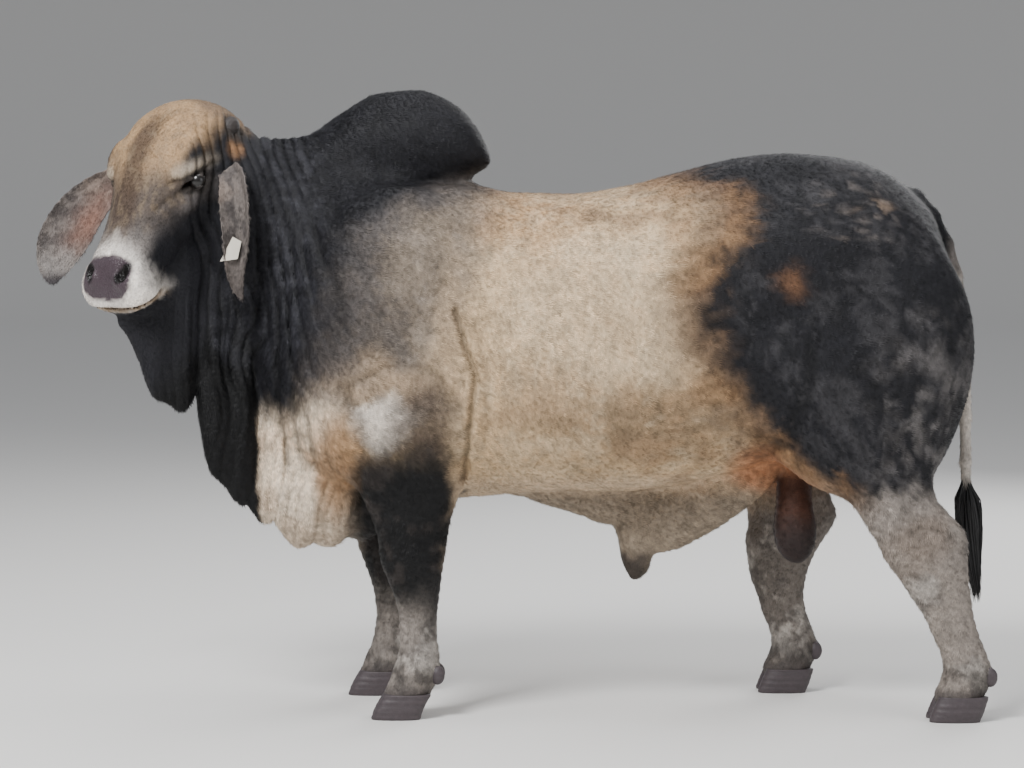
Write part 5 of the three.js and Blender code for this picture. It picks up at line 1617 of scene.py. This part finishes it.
class BULL_OT_tag(bpy.types.Operator):
    """Give the blank ear tag its surface"""
    bl_idname = "bull.tag"
    bl_label = "Ear tag"

    def execute(self, context):
        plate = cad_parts["ear_tag"]
        plate.data.materials.clear()
        plate.data.materials.append(material_named("Tag"))
        return {"FINISHED"}


class BULL_OT_switch(bpy.types.Operator):
    """Build the long dark hair of the tail's end"""
    bl_idname = "bull.switch"
    bl_label = "Tail switch"

    def execute(self, context):
        random = np.random.default_rng(11)
        strands = []
        for _ in range(STRANDS):
            turn, spread = random.uniform(0, 2 * math.pi), random.uniform(0.15, 1) ** 0.6
            long = random.uniform(0.62, 1.0) * (1 - 0.12 * spread)
            out = np.array([math.cos(turn), math.sin(turn) * 0.85, 0]) * spread
            rows = []
            for share in np.linspace(0, 1, STRAND_RINGS):
                width = 9 + 26 * smooth(share, 0, 0.3) * (1 - 0.75 * smooth(share, 0.45, 1.0))
                sway = 2.2 * math.sin(share * 6 + turn * 3)
                centre = np.array([
                    SWITCH_X + 30 * share ** 1.5 + sway, sway, SWITCH_TOP - share * long * STRAND_LENGTH])
                rows.append(centre + out * width)
            rows = np.array(rows)
            across = np.array([-math.sin(turn), math.cos(turn), 0])
            half = np.interp(np.linspace(0, 1, STRAND_RINGS), [0, 0.2, 0.8, 1], [1.2, 2.4, 1.6, 0.3])
            deep = out / spread
            rings = [
                [row + across * h, row + deep * h * 0.5, row - across * h, row - deep * h * 0.5]
                for row, h in zip(rows, half)
            ]
            strands.append(outward(*closed_rings(rings)))
        hair = mesh_object("switch_hair", *gather(strands), material_named("SwitchHair"))
        finish_piece(hair, "switch_hair", "tail_switch")
        return {"FINISHED"}


class BULL_OT_stage(bpy.types.Operator):
    """Set the floor, the backdrop, the lights and the camera"""
    bl_idname = "bull.stage"
    bl_label = "Stage"

    def execute(self, context):
        settings = context.scene.bull_stage
        floor = bpy.data.materials.new("Floor")
        _, shader = tree_of(floor)
        shader.inputs["Base Color"].default_value = (0.78, 0.77, 0.75, 1)
        shader.inputs["Roughness"].default_value = 0.9
        mesh = floor_mesh()
        mesh.materials.append(floor)
        ground = bpy.data.objects.new("floor", mesh)
        context.scene.collection.objects.link(ground)
        world = bpy.data.worlds.new("Studio")
        world.use_nodes = True
        sky = world.node_tree.nodes["Background"]
        sky.inputs["Color"].default_value = (0.86, 0.88, 0.92, 1)
        sky.inputs["Strength"].default_value = 0.42
        context.scene.world = world
        for name, at, size, power in LAMPS:
            lamp = bpy.data.lights.new(name, "AREA")
            lamp.energy = power
            lamp.size = size
            obj = bpy.data.objects.new(name, lamp)
            context.scene.collection.objects.link(obj)
            obj.location = at
            obj.rotation_euler = (AIM - Vector(at)).to_track_quat("-Z", "Y").to_euler()
        lens = bpy.data.cameras.new("camera")
        lens.lens = settings.lens
        lens.sensor_width = 36.0
        camera = bpy.data.objects.new("camera", lens)
        context.scene.collection.objects.link(camera)
        camera.location = to_row([[0, -settings.distance * 1000, settings.height * 1000]])[0]
        camera.rotation_euler = (math.pi / 2 - CAMERA_TILT, 0, 0)
        context.scene.camera = camera
        return {"FINISHED"}


class BULL_PT_panel(bpy.types.Panel):
    bl_label = "Brahman bull"
    bl_idname = "BULL_PT_panel"
    bl_space_type = "VIEW_3D"
    bl_region_type = "UI"
    bl_category = "Bull"

    def draw(self, context):
        scene = context.scene
        for key, group in GROUPS.items():
            box = self.layout.box()
            for name in group.__annotations__:
                box.prop(getattr(scene, key), name)
        for made in OPERATORS:
            self.layout.operator(made.bl_idname)


GROUPS = {"bull_tones": BullTones, "bull_hide": BullHide, "bull_coat": BullCoat, "bull_stage": BullStage}
OPERATORS = [
    BULL_OT_materials, BULL_OT_skin, BULL_OT_coat, BULL_OT_eyes, BULL_OT_horn, BULL_OT_tag, BULL_OT_switch,
    BULL_OT_stage,
]
CLASSES = [*GROUPS.values(), *OPERATORS, BULL_PT_panel]


def register():
    for made in CLASSES:
        bpy.utils.register_class(made)
    for key, group in GROUPS.items():
        setattr(bpy.types.Scene, key, bpy.props.PointerProperty(type=group))


def unregister():
    for key in GROUPS:
        delattr(bpy.types.Scene, key)
    for made in reversed(CLASSES):
        bpy.utils.unregister_class(made)


def main():
    register()
    bpy.ops.bull.materials()
    bpy.ops.bull.skin()
    bpy.ops.bull.coat()
    bpy.ops.bull.eyes()
    bpy.ops.bull.horn()
    bpy.ops.bull.tag()
    bpy.ops.bull.switch()
    bpy.ops.bull.stage()


if __name__ == "__main__":
    main()
